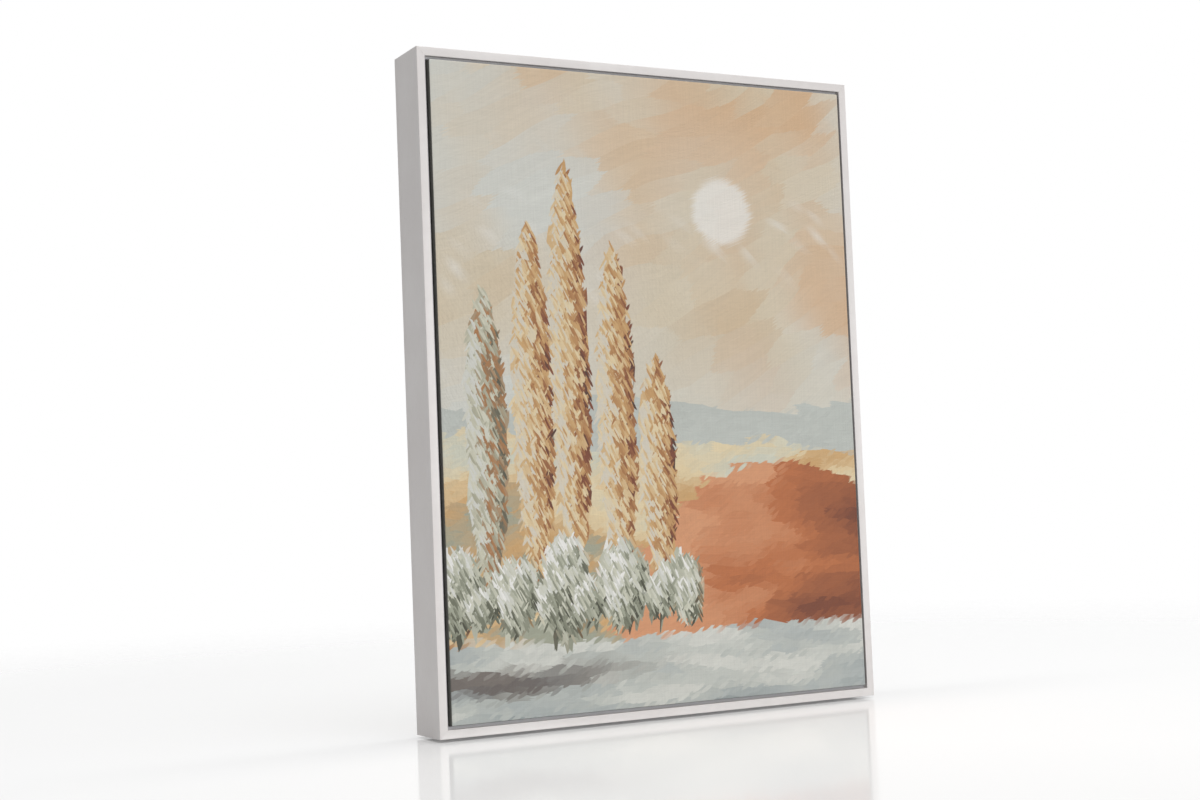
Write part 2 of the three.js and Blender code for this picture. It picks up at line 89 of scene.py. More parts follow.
class Field:
    """A value, colour or vector that varies over a surface. Sums and products add Math nodes."""

    def __init__(self, finish, socket):
        self.finish = finish
        self.socket = socket

    def math(self, operation, *others):
        return self.finish.math(operation, self, *others)

    def __add__(self, other):
        return self.math("ADD", other)

    def __sub__(self, other):
        return self.math("SUBTRACT", other)

    def __rsub__(self, other):
        return self.finish.math("SUBTRACT", other, self)

    def __mul__(self, other):
        return self.math("MULTIPLY", other)

    def __truediv__(self, other):
        return self.math("DIVIDE", other)

    def __pow__(self, other):
        return self.math("POWER", other)

    __radd__ = __add__
    __rmul__ = __mul__

    def fraction(self):
        return self.math("FRACT")

    def size(self):
        return self.math("ABSOLUTE")

    def sine(self):
        return self.math("SINE")

    def step(self, low, high):
        """0 below low, 1 above high and a smooth rise between them, or a fall where low is above high."""
        if low > high:
            return 1 - self.step(high, low)
        sockets = {"Value": self, "From Min": low, "From Max": high}
        return self.finish.node("ShaderNodeMapRange", {"interpolation_type": "SMOOTHSTEP"}, sockets)

    def ramp(self, *stops):
        """The colour between stops of (place, colour)."""
        return self.finish.node("ShaderNodeValToRGB", {"stops": stops}, {"Fac": self})


class Finish:
    """A material, and the one way to put nodes in it."""

    def __init__(self, name):
        self.material = bpy.data.materials.new(name)
        self.material.use_nodes = True
        self.tree = self.material.node_tree
        self.tree.nodes.clear()

    def node(self, kind, settings=None, sockets=None, out=0):
        made = self.tree.nodes.new(kind)
        for key, value in (settings or {}).items():
            if key == "stops":
                spare = made.color_ramp.elements
                while len(spare) < len(value):
                    spare.new(0.5)
                for element, (place, colour) in zip(spare, value):
                    element.position = place
                    element.color = colour
            else:
                setattr(made, key, value)
        for key, value in (sockets or {}).items():
            if isinstance(value, Field):
                self.tree.links.new(value.socket, made.inputs[key])
            else:
                made.inputs[key].default_value = value
        return None if out is None else Field(self, made.outputs[out])

    def math(self, operation, *values):
        return self.node("ShaderNodeMath", {"operation": operation}, dict(enumerate(values)))

    def vector(self, x, y, z=0.0):
        return self.node("ShaderNodeCombineXYZ", sockets={"X": x, "Y": y, "Z": z})

    def parts(self, vector):
        made = self.node("ShaderNodeSeparateXYZ", sockets={"Vector": vector}).socket.node
        return [Field(self, socket) for socket in made.outputs]

    def place(self):
        """The point's place on the piece, as x, y and z in millimetres."""
        metres = self.node("ShaderNodeTexCoord", out=3)
        scaled = {"operation": "SCALE"}
        return self.parts(self.node("ShaderNodeVectorMath", scaled, {0: metres, "Scale": 1 / MM}))

    def noise(self, x, y, z=None, detail=2.0, roughness=0.5, seed=0):
        """Smooth noise around 0.5. One unit of x, y or z is about one blot."""
        settings = {"noise_dimensions": "2D" if z is None else "3D"}
        point = self.vector(x + 31.7 * seed, y, 0.0 if z is None else z)
        sockets = {"Vector": point, "Scale": 1.0, "Detail": detail, "Roughness": roughness}
        return self.node("ShaderNodeTexNoise", settings, sockets)

    def luck(self, number):
        """A random value, 0 to 1, that is the same all over each whole number."""
        return self.node("ShaderNodeTexWhiteNoise", {"noise_dimensions": "1D"}, {"W": number})

    def mix(self, share, a, b, blend="MIX"):
        """Colour a where share is 0 and colour b where it is 1."""
        settings = {"data_type": "RGBA", "blend_type": blend, "clamp_factor": True}
        return self.node("ShaderNodeMix", settings, {0: share, 6: a, 7: b}, out=2)

    def bump(self, height, distance):
        sockets = {"Height": height, "Distance": distance, "Strength": 1.0}
        return self.node("ShaderNodeBump", sockets=sockets)

    def surface(self, **sockets):
        """The Principled surface, with sockets named like Base_Color."""
        named = {key.replace("_", " "): value for key, value in sockets.items()}
        return self.output(self.node("ShaderNodeBsdfPrincipled", sockets=named))

    def output(self, shader):
        self.node("ShaderNodeOutputMaterial", sockets={"Surface": shader}, out=None)
        return self.material


def tint(red, green, blue):
    """A colour given as a screen shows it, 0 to 255, as the shader wants it."""

    def linear(level):
        share = level / 255
        return share / 12.92 if share <= 0.04045 else ((share + 0.055) / 1.055) ** 2.4

    return (linear(red), linear(green), linear(blue), 1.0)


# ---------------------------------------------------------------- finishes of the frame and the hardware


def white_lacquer():
    """Sprayed satin white over sanded wood: faint mottling, orange peel and a few fine specks.

    The ledge and the inner walls down in the gap are coloured grey: painted shade for the shadow in
    the gap. The mitres are filled and sanded at the front and show as fine dark lines at the back.
    """
    f = Finish("white_lacquer")
    x, y, z = f.place()
    mottling = f.noise(x / 60, y / 60, z / 60, detail=3, seed=1)
    grain = f.noise((x + z) / 14, y / 1.1, (x - z) / 14, detail=2, seed=2)
    peel = f.noise(x / 1.3, y / 1.3, z / 1.3, detail=1, seed=3)
    specks = f.noise(x / 1.1, y / 1.1, z / 1.1, detail=0, seed=4).step(0.81, 0.85)
    colour = f.mix(mottling.step(0.3, 0.7), tint(232, 228, 226), tint(227, 222, 220))
    colour = f.mix(grain.step(0.35, 0.75) * 0.12, colour, tint(206, 202, 198))
    colour = f.mix(specks * 0.3, colour, tint(188, 182, 174))
    from_side = OUTER_HALF_WIDTH / MM - x.size()
    from_end = MIDDLE_Z / MM - (z - MIDDLE_Z / MM).size()
    # Painted shade: the inner walls and the ledge down in the gap are coloured grey, where the gap lies
    # in shadow.
    painted_gap_shade = from_side.math("MINIMUM", from_end).step(RAIL_FACE / MM + 0.1, RAIL_FACE / MM + 0.3)
    painted_gap_shade = painted_gap_shade * y.step(FLANGE_FRONT_Y / MM + 0.2, FLANGE_FRONT_Y / MM)
    colour = f.mix(painted_gap_shade, colour, tint(174, 173, 176))
    off_mitre = from_end - from_side
    seam = (off_mitre + (mottling - 0.5) * 0.2).size().step(0.34, 0.12) * y.step(0, 12)
    colour = f.mix(seam * 0.5, colour, tint(120, 112, 104))
    roughness = 0.34 + 0.12 * mottling + 0.06 * grain
    relief = peel * 0.5 + grain * 0.5
    return f.surface(
        Base_Color=colour,
        Roughness=roughness,
        Normal=f.bump(relief, 0.03 * MM),
        Coat_Weight=0.15,
        Coat_Roughness=0.25,
    )


def wood(name, axis, early, late, ring_width, fibre_share):
    """Planed wood with its rings and fibres along an axis, "x" or "z"."""
    f = Finish(name)
    x, y, z = f.place()
    along, side = (x, z) if axis == "x" else (z, x)
    wander = f.noise(along / 160, side / 60, y / 60, detail=2, seed=5)
    depth = side * 0.35 + y * 0.9 + 46 * wander
    across = (depth / ring_width).fraction()
    latewood = across.step(0.35, 0.92) * across.step(1.0, 0.93)
    fibres = f.noise(along / 26, side / 0.55, y / 0.55, detail=2, seed=6)
    pores = f.noise(along / 5, side / 0.3, y / 0.3, detail=1, seed=7).step(0.62, 0.72)
    cast = f.noise(along / 120, side / 90, y / 90, detail=1, seed=8)
    colour = f.mix(latewood * (0.35 + 0.3 * cast), early, late)
    colour = f.mix(fibres.step(0.3, 0.75) * fibre_share, colour, late)
    colour = f.mix(pores * 0.22, colour, tint(120, 84, 48))
    relief = fibres * 0.6 + latewood * 0.4
    return f.surface(Base_Color=colour, Roughness=0.55 + 0.2 * fibres, Normal=f.bump(relief, 0.06 * MM))


def zinc_steel():
    """Zinc-plated steel: cloudy spangle, fine scratches and a dull bloom."""
    f = Finish("zinc_steel")
    x, y, z = f.place()
    bloom = f.noise(x / 4, y / 4, z / 4, detail=3, seed=9)
    scratches = f.noise((x + y) / 9, z / 0.09, (x - y) / 0.4, detail=1, seed=10)
    colour = f.mix(bloom.step(0.3, 0.7), tint(196, 199, 203), tint(174, 177, 182))
    colour = f.mix(scratches.step(0.6, 0.75) * 0.25, colour, tint(212, 214, 216))
    roughness = 0.30 + 0.20 * bloom
    return f.surface(
        Base_Color=colour,
        Metallic=1.0,
        Roughness=roughness,
        Normal=f.bump(scratches * 0.6 + bloom * 0.4, 0.008 * MM),
    )


def black_rubber():
    """Soft black rubber with a dusty bloom and a moulded grain."""
    f = Finish("black_rubber")
    x, y, z = f.place()
    grain = f.noise(x / 0.45, y / 0.45, z / 0.45, detail=2, seed=11)
    dust = f.noise(x / 3, y / 3, z / 3, detail=3, seed=12)
    colour = f.mix(dust.step(0.45, 0.75) * 0.5, tint(36, 36, 38), tint(72, 71, 70))
    return f.surface(Base_Color=colour, Roughness=0.62 + 0.25 * dust, Normal=f.bump(grain, 0.05 * MM))


# ---------------------------------------------------------------- finishes of the canvas


def weave(f, across, along):
    """Plain weave, its threads over and under each other and a little uneven.

    Returns how high the threads lie and where they are thicker.
    """
    sway = f.noise(across / 14, along / 14, detail=1, seed=13) * 1.2
    warp = (across + sway) * (math.pi / THREAD_PITCH)
    weft = (along + sway) * (math.pi / THREAD_PITCH)
    over_and_under = (warp.sine() * weft.sine()) * 0.5
    height = over_and_under + 0.25 * (warp * 2.0).sine().size() + 0.25 * (weft * 2.0).sine().size()
    slub_across = f.noise(across / 1.5, along / 30, detail=2, seed=14)
    slub_along = f.noise(across / 30, along / 1.5, detail=2, seed=15)
    return height, slub_across + slub_along - 1


def raw_cotton():
    """The unprimed back of the canvas: natural cotton with seed specks."""
    f = Finish("raw_cotton")
    x, y, z = f.place()
    height, slubs = weave(f, x, z)
    seeds = f.noise(x / 1.1, z / 1.6, y, detail=0, seed=16).step(0.80, 0.84)
    stain = f.noise(x / 80, y / 80, z / 80, detail=3, seed=17)
    colour = f.mix(stain.step(0.3, 0.7), tint(226, 217, 198), tint(216, 205, 184))
    colour = f.mix((slubs * 1.6 + 0.3).step(0.0, 1.0) * 0.5, colour, tint(198, 184, 158))
    # Painted shade: the low places between the threads of the weave are coloured darker.
    colour = f.mix(height.step(0.35, -0.35) * 0.35, colour, tint(164, 148, 120))
    colour = f.mix(seeds * 0.7, colour, tint(120, 92, 60))
    return f.surface(Base_Color=colour, Roughness=0.88, Normal=f.bump(height + slubs, 0.18 * MM))


def wrapped_edge():
    """The canvas round the sides of the bars, painted grey, and behind them, bare white primer."""
    f = Finish("wrapped_edge")
    x, y, z = f.place()
    height, slubs = weave(f, x + y, z + y)
    fold_y = CANVAS_HIGH.y / MM
    ragged = f.noise(x / 9, z / 9, detail=3, seed=18) * 5
    beyond_end = (z - MIDDLE_Z / MM).size() - CANVAS_HEIGHT / 2 / MM
    inward = beyond_end.math("MAXIMUM", x.size() - CANVAS_WIDTH / 2 / MM)
    on_back = y.step(fold_y - 1.2, fold_y - 0.6)
    primer = on_back * (inward + ragged).step(-8.0, -10.0)
    painted = f.mix((slubs + 0.5).step(0.0, 1.0), tint(96, 97, 93), tint(112, 112, 107))
    white = f.mix((slubs + 0.5).step(0.0, 1.0), tint(232, 230, 224), tint(216, 212, 203))
    colour = f.mix(primer, painted, white)
    return f.surface(Base_Color=colour, Roughness=0.75, Normal=f.bump(height + slubs, 0.12 * MM))


# The painted picture: a quiet valley in brush strokes. Places on it are u, from 0 at the left edge to 1
# at the right, and v, from 0 at the bottom up, in the same unit.

PALE = tint(207, 208, 201)
CREAM = tint(210, 202, 186)
CREAM_WARM = tint(209, 196, 172)
TAN = tint(203, 180, 148)
PEACH = tint(208, 172, 134)
SNOW = tint(234, 233, 229)
MIST = tint(186, 190, 184)
WATER = tint(172, 178, 176)
DUSK = tint(150, 158, 158)
SAGE_PALE = tint(203, 203, 186)
SAGE = tint(156, 159, 141)
SAGE_DEEP = tint(104, 107, 89)
MOSS = tint(62, 63, 48)
WHEAT = tint(222, 203, 164)
OCHRE = tint(198, 158, 106)
OCHRE_DEEP = tint(164, 114, 68)
CLAY_PALE = tint(208, 148, 108)
CLAY = tint(180, 106, 60)
CLAY_DEEP = tint(114, 58, 32)
UMBER = tint(62, 37, 26)

SUN = (0.675, 1.055)
SUN_RADIUS = 0.074
RIDGE_TOP = 0.630
SLOPE_TOP = 0.575
FIELD_TOP = 0.330
WATERLINE = 0.150
HILL_MIDDLE = (0.810, 0.095)
HILL_REACH = (0.440, 0.410)
TREES_FROM = 0.055
TREE_PITCH = 0.096
TREE_COUNT = 5
TREE_FOOT = 0.265
TREE_TALLEST = 0.76
SHRUBS_END = 0.600
# Where a row of shrubs starts, its pitch, its foot, how much the shrubs differ in height, and a seed.
SHRUB_ROWS = ((-0.04, 0.125, 0.262, 0.50, 3.7), (0.03, 0.082, 0.232, 0.40, 8.1))
# The layers of land and of leaves: a mark's length, width and angle, a seed, and how many marks show.
LAND_LAYERS = ((0.062, 0.017, -6, 41, 1.0), (0.034, 0.010, 31, 46, 0.8))
LEAF_LAYERS = (
    (0.040, 0.0100, 84, 51, 9.0),
    (0.032, 0.0062, 56, 61, 0.60),
    (0.026, 0.0054, 116, 71, 0.58),
)

Strokes = namedtuple("Strokes", "u v chance choice distance hair")


def strokes(f, u, v, bend, length, width, angle, ragged, seed, soft=0.0):
    """A layer of brush marks. Each point learns the middle of its mark, so a mark has one colour.

    Soft marks, up to 1, shade into each other instead.
    """
    cosine, sine = math.cos(math.radians(angle)), math.sin(math.radians(angle))
    along = u * cosine + v * sine
    sag = bend * (3.2 * width)
    across = v * cosine - u * sine + sag
    hair = f.noise(along / (1.6 * length), across / (0.09 * width), detail=1, seed=seed)
    fray = hair * ragged
    sockets = {"Vector": f.vector(along / length + fray, across / width), "Scale": 1.0}
    cell = f.node("ShaderNodeTexVoronoi", {"voronoi_dimensions": "2D"}, sockets).socket.node
    distance, colour, place = [Field(f, cell.outputs[name]) for name in ("Distance", "Color", "Position")]
    cell_along, cell_across, _ = f.parts(place)
    chance, choice, _ = f.parts(colour)
    if soft:
        cell_along = cell_along * (1 - soft) + along * (soft / length)
    cell_along = cell_along * length
    cell_across = cell_across * width - sag
    mark_u = cell_along * cosine - cell_across * sine
    mark_v = cell_along * sine + cell_across * cosine
    return Strokes(mark_u, mark_v, chance, choice, distance + fray * 0.4, hair)


def sky_colour(f, u, v):
    """Cream and tan clouds, peach towards the upper right and pale near the land."""
    drift = f.noise(u * 2.3, v * 2.0, detail=2, roughness=0.55, seed=20)
    warmth = f.noise(u * 3.4, v * 2.9, detail=1, seed=21)
    tone = drift + (u - 0.5) * 0.12
    sky = tone.ramp((0.36, PALE), (0.46, CREAM), (0.58, CREAM_WARM), (0.72, TAN))
    sunward = (u * 0.75 + v * 0.5).step(0.45, 1.30)
    sky = f.mix(warmth.step(0.40, 0.66) * sunward, sky, PEACH)
    return f.mix(v.step(0.88, 0.60) * 0.6, sky, PALE)


def land_colour(f, u, v):
    """Far ridge, slopes, a clay hill, fields and water. Returns the colour and where there is land."""
    roll = f.noise(u * 2.8, v * 0.15, detail=1, seed=22) - 0.5
    patch = f.noise(u * 4.2, v * 9.0, detail=1, seed=23)
    furrow = f.noise(u * 2.2, v * 19, detail=2, seed=24)
    land = (v - 0.10 * roll).step(RIDGE_TOP, RIDGE_TOP - 0.004)
    lie = patch * 0.8 + (SLOPE_TOP - v) * 0.9
    slopes = lie.ramp((0.30, SAGE_PALE), (0.44, WHEAT), (0.58, OCHRE), (0.74, SAGE))
    colour = f.mix((v + 0.12 * roll + 0.05 * u).step(SLOPE_TOP, SLOPE_TOP - 0.006), MIST, slopes)
    fields = furrow.ramp((0.32, SAGE), (0.42, OCHRE), (0.52, WHEAT), (0.62, OCHRE_DEEP), (0.72, CLAY))
    colour = f.mix((v - 0.06 * roll + 0.04 * u).step(FIELD_TOP + 0.01, FIELD_TOP - 0.02), colour, fields)
    hill_u = (u - HILL_MIDDLE[0]) / HILL_REACH[0]
    hill_v = (v - HILL_MIDDLE[1]) / HILL_REACH[1]
    hill = (hill_u * hill_u + hill_v * hill_v + 0.16 * roll).step(1.0, 0.975)
    shade = 0.40 + hill_u * 0.50 - hill_v * 0.12 + (patch - 0.5) * 0.60 + (furrow - 0.5) * 0.25
    clay = shade.ramp((0.08, CLAY_PALE), (0.33, CLAY), (0.60, CLAY_DEEP), (0.84, UMBER))
    colour = f.mix(hill, colour, clay)
    ripple = furrow + (patch - 0.5) * 0.3
    water = (ripple - (v - 0.07) * 1.5).ramp((0.36, PALE), (0.48, MIST), (0.60, WATER), (0.74, DUSK))
    mirrored = (v - 0.104 + 0.05 * patch).size().step(0.034, 0.008) * (u + 0.35 * ripple).step(0.75, 0.35)
    water = f.mix(mirrored * 0.8, water, UMBER)
    bank = (v + 0.035 * roll).step(WATERLINE + 0.006, WATERLINE - 0.003)
    return f.mix(bank, colour, water), land


def poplars(f, u, v):
    """A stand of slender trees. Returns how far inside one the point is, its dark side and its luck."""
    count = (u - TREES_FROM) / TREE_PITCH
    number = count.math("FLOOR")
    luck = f.luck(number + 5.91)
    sideways = count.fraction() - 0.5 + (luck - 0.5) * 0.16
    off_middle = number - 1.9
    height = TREE_TALLEST - off_middle * off_middle * 0.075 + luck * 0.10
    rise = (v - TREE_FOOT) / height
    profile = (rise * (1.05 - rise)).math("MAXIMUM", 0.0001) ** 0.6 * 1.05
    stand = (count - TREE_COUNT / 2).size().step(TREE_COUNT / 2, TREE_COUNT / 2 - 0.02)
    inside = (profile - sideways.size()).step(-0.02, 0.06) * stand
    return inside, sideways * 2, luck


def dome_row(f, u, v, start, pitch, base, lift, seed):
    """A row of rounded shrubs. Returns how far inside one the point is and how far to its dark side."""
    count = (u - start) / pitch
    luck = f.luck(count.math("FLOOR") + seed)
    sideways = (count.fraction() - 0.5 + (luck - 0.5) * 0.16) * 2.0
    rise = (v - base) / (pitch * (0.42 + lift * luck))
    reach = sideways * sideways + rise * rise
    return reach.step(1.0, 0.86), sideways * 0.45 - rise * 0.55


def foliage(f, mark):
    """The trees and the shrubs at their feet, in the marks of one layer. Returns colour and cover."""
    cover, side, luck = poplars(f, mark.u, mark.v)
    light = mark.choice * 0.55 + 0.34 - side * 0.34
    russet = light.ramp(
        (0.08, UMBER), (0.2, CLAY_DEEP), (0.36, OCHRE_DEEP), (0.54, OCHRE), (0.74, WHEAT), (0.92, CREAM)
    )
    silver = light.ramp(
        (0.08, MOSS), (0.22, SAGE_DEEP), (0.42, OCHRE_DEEP), (0.58, SAGE), (0.78, SAGE_PALE), (0.94, PALE)
    )
    colour = f.mix(luck.step(0.72, 0.95), russet, silver)
    for start, pitch, base, lift, seed in SHRUB_ROWS:
        inside, dark = dome_row(f, mark.u, mark.v, start, pitch, base, lift, seed)
        inside = inside * mark.u.step(SHRUBS_END, SHRUBS_END - 0.03)
        leaf = mark.choice * 0.62 + 0.24 - dark * 0.52
        shrub = leaf.ramp(
            (0.06, MOSS), (0.26, SAGE_DEEP), (0.46, SAGE), (0.68, SAGE_PALE), (0.86, PALE), (0.96, SNOW)
        )
        colour = f.mix(inside, colour, shrub)
        cover = cover.math("MAXIMUM", inside)
    return colour, cover


def painted_front():
    """Primed canvas under thin paint: a valley with poplars, in brush marks from broad to fine."""
    f = Finish("painted_front")
    x, y, z = f.place()
    height, slubs = weave(f, x, z)
    width = CANVAS_WIDTH / MM
    u = x / width + 0.5
    v = (z - CANVAS_LOW.z / MM) / width
    bend = f.noise(u * 2.6, v * 2.6, detail=1, seed=30) - 0.5

    broad = strokes(f, u, v, bend, 0.150, 0.040, 24, 0.30, 31, soft=0.6)
    colour = sky_colour(f, broad.u, broad.v)
    bright = (broad.chance - 0.5) * 0.05 + (broad.hair - 0.5) * 0.14

    scumble = strokes(f, u, v, bend, 0.090, 0.036, -36, 0.4, 36, soft=0.5)
    shown = scumble.distance.step(0.62, 0.05) * scumble.chance.step(0.35, 0.75)
    cloudy = (bend + u * 0.15).step(0.02, -0.14)
    fresh = f.mix(cloudy * scumble.choice.step(0.2, 0.8), sky_colour(f, scumble.u, scumble.v), SNOW)
    colour = f.mix(shown * 0.5, colour, fresh)
    sun_u, sun_v = u - SUN[0], v - SUN[1]
    from_sun = (sun_u * sun_u + sun_v * sun_v) ** 0.5 + (broad.hair - 0.5) * 0.03 + bend * 0.03
    colour = f.mix(from_sun.step(0.30, SUN_RADIUS) * 0.3, colour, CREAM)
    colour = f.mix(from_sun.step(SUN_RADIUS + 0.006, SUN_RADIUS - 0.016) * 0.7, colour, SNOW)
    bright = bright + shown * (scumble.hair - 0.5) * 0.12

    for length, breadth, angle, seed, share in LAND_LAYERS:
        mark = strokes(f, u, v, bend, length, breadth, angle, 0.45, seed, soft=0.15)
        land, shown = land_colour(f, mark.u, mark.v)
        if share < 1:
            shown = shown * mark.distance.step(0.62, 0.48) * mark.chance.step(1 - share, 1.1 - share)
        colour = f.mix(shown, colour, land)
        bright = bright * (1 - shown) + shown * ((mark.choice - 0.5) * 0.12 + (mark.hair - 0.5) * 0.20)

    for length, breadth, angle, seed, tight in LEAF_LAYERS:
        mark = strokes(f, u, v, bend, length, breadth, angle, 0.25, seed)
        leaf, cover = foliage(f, mark)
        shown = mark.distance.step(tight + 0.06, tight - 0.04) * cover.step(0.45, 0.55)
        colour = f.mix(shown, colour, leaf)
        bright = bright * (1 - shown) + shown * (mark.hair - 0.5) * 0.24

    # The weave's high threads are painted a little lighter and its low places darker: painted light and
    # shade.
    level = 1 + bright * 0.6 + slubs * 0.10 + height * 0.03
    colour = f.mix(1.0, colour, f.vector(level, level, level), blend="MULTIPLY")
    leafy = u.step(SHRUBS_END, SHRUBS_END - 0.05) * (v - 0.6).size().step(0.44, 0.36)
    relief = broad.hair * 0.9 + leafy * mark.distance.step(0.7, 0.3) * 0.8 + (height + slubs * 1.5) * 0.35
    roughness = 0.62 - 0.10 * broad.hair
    return f.surface(Base_Color=colour, Roughness=roughness, Normal=f.bump(relief, 0.20 * MM))


# ---------------------------------------------------------------- modelling by hand


@contextlib.contextmanager
def editing(piece):
    """Edit mode on one piece alone."""
    bpy.ops.object.select_all(action="DESELECT")
    bpy.context.view_layer.objects.active = piece
    piece.select_set(True)
    bpy.ops.object.mode_set(mode="EDIT")
    yield
    bpy.ops.object.mode_set(mode="OBJECT")


def select(kind, test):
    """In edit mode, selects the faces or edges that pass a test."""
    bpy.ops.mesh.select_mode(type=kind)
    bpy.ops.mesh.select_all(action="DESELECT")
    mesh = bmesh.from_edit_mesh(bpy.context.object.data)
    for part in mesh.faces if kind == "FACE" else mesh.edges:
        part.select_set(test(part))
    mesh.select_flush_mode()
    bmesh.update_edit_mesh(bpy.context.object.data)


def select_everything():
    bpy.ops.mesh.select_all(action="SELECT")


def middle_of(part):
    """The middle of an edge or a face."""
    return sum((vertex.co for vertex in part.verts), Vector()) / len(part.verts)


def runs_along(edge, axis):
    """True for an edge parallel to an axis, 0 to 2."""
    way = (edge.verts[1].co - edge.verts[0].co).normalized()
    return abs(way[axis]) > 0.999


def creased(edge):
    return edge.calc_face_angle(0) > 1.2


def extrude(x=0.0, y=0.0, z=0.0):
    bpy.ops.mesh.extrude_region_move(TRANSFORM_OT_translate={"value": (x, y, z)})


def bevel(width, segments):
    bpy.ops.mesh.bevel(offset=width, segments=segments, affect="EDGES")


def scale_about(centre, x, y, z):
    bpy.ops.transform.resize(value=(x, y, z), center_override=centre)


def close_up(piece):
    """Merges doubled vertices and turns every face outwards."""
    with editing(piece):
        select_everything()
        bpy.ops.mesh.remove_doubles(threshold=DOUBLED)
        bpy.ops.mesh.normals_make_consistent(inside=False)


def primitive(name, add, scale=(1, 1, 1), **settings):
    """The start of a piece: a plain shape, with its place and scale in its mesh."""
    bpy.ops.object.select_all(action="DESELECT")
    add(**settings)
    piece = bpy.context.object
    piece.name = name
    piece.scale = scale
    bpy.ops.object.transform_apply(location=True, rotation=True, scale=True)
    return piece


def block(name, low, high):
    """A box from its lowest to its highest corner."""
    low, high = Vector(low), Vector(high)
    middle, size = (low + high) / 2, high - low
    return primitive(name, bpy.ops.mesh.primitive_cube_add, size=1, location=middle, scale=size)


def circle(name, sides, radius, **settings):
    return primitive(name, bpy.ops.mesh.primitive_circle_add, vertices=sides, radius=radius, **settings)


def turned(name, profile, sides):
    """A round piece on the Z axis, from one flat end to the other or to a point.

    The profile is a list of (radius, height).
    """
    (radius, height), *others = profile
    piece = circle(name, sides, radius, fill_type="NGON", location=(0, 0, height))
    with editing(piece):
        bpy.ops.mesh.select_mode(type="FACE")
        select_everything()
        for next_radius, next_height in others:
            extrude(z=next_height - height)
            height = next_height
            if next_radius == 0:
                bpy.ops.mesh.merge(type="CENTER")
                break
            share = next_radius / radius
            scale_about((0, 0, height), share, share, 1)
            radius = next_radius
    close_up(piece)
    return piece


def apply_modifier(piece, kind, **settings):
    """Adds a modifier, sets it and applies it."""
    bpy.context.view_layer.objects.active = piece
    modifier = piece.modifiers.new(kind.lower(), kind)
    for key, value in settings.items():
        setattr(modifier, key, value)
    bpy.ops.object.modifier_apply(modifier=modifier.name)


def cut(piece, cutter):
    apply_modifier(piece, "BOOLEAN", operation="DIFFERENCE", solver="EXACT", object=cutter)


def copy_of(piece, name, matrix):
    """A copy with its own mesh, moved or turned by a matrix."""
    twin = piece.copy()
    twin.data = piece.data.copy()
    twin.name = name
    bpy.context.scene.collection.objects.link(twin)
    twin.data.transform(matrix)
    twin.data.update()
    return twin


def join(pieces, name):
    bpy.ops.object.select_all(action="DESELECT")
    for piece in pieces:
        piece.select_set(True)
    bpy.context.view_layer.objects.active = pieces[0]
    bpy.ops.object.join()
    pieces[0].name = name
    return pieces[0]


def discard(*pieces):
    for piece in pieces:
        bpy.data.objects.remove(piece)


def finished(piece, material, body, nodes=()):
    """Gives a piece its finish and its body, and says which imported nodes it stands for."""
    bpy.ops.object.select_all(action="DESELECT")
    bpy.context.view_layer.objects.active = piece
    piece.select_set(True)
    bpy.ops.object.shade_smooth_by_angle(angle=math.radians(SMOOTH_BELOW))
    apply_modifier(piece, "WEIGHTED_NORMAL", keep_sharp=True)
    for face in piece.data.polygons:
        if face.area > LARGE_FACE:
            face.use_smooth = False
    if material is not None:
        piece.data.materials.clear()
        piece.data.materials.append(material)
    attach(piece, body)
    if nodes:
        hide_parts(*nodes)
    return piece


def moved(x=0.0, y=0.0, z=0.0):
    return Matrix.Translation((x, y, z))


def rotation(degrees, axis):
    return Matrix.Rotation(math.radians(degrees), 4, axis)


def facing_back():
    """Turns a piece made on the Z axis so that its top faces the back, +Y."""
    return rotation(-90, "X")


# ---------------------------------------------------------------- frame rails

# A side of the frame is modelled as if it were the bottom one, then turned about the frame's middle.
TURNS = {"bottom": 0, "right": -90, "top": 180, "left": 90}


def about_middle(side):
    return moved(z=MIDDLE_Z) @ rotation(TURNS[side], "Y")


def half_length(side, half_width, half_height):
    return half_width if side in ("bottom", "top") else half_height


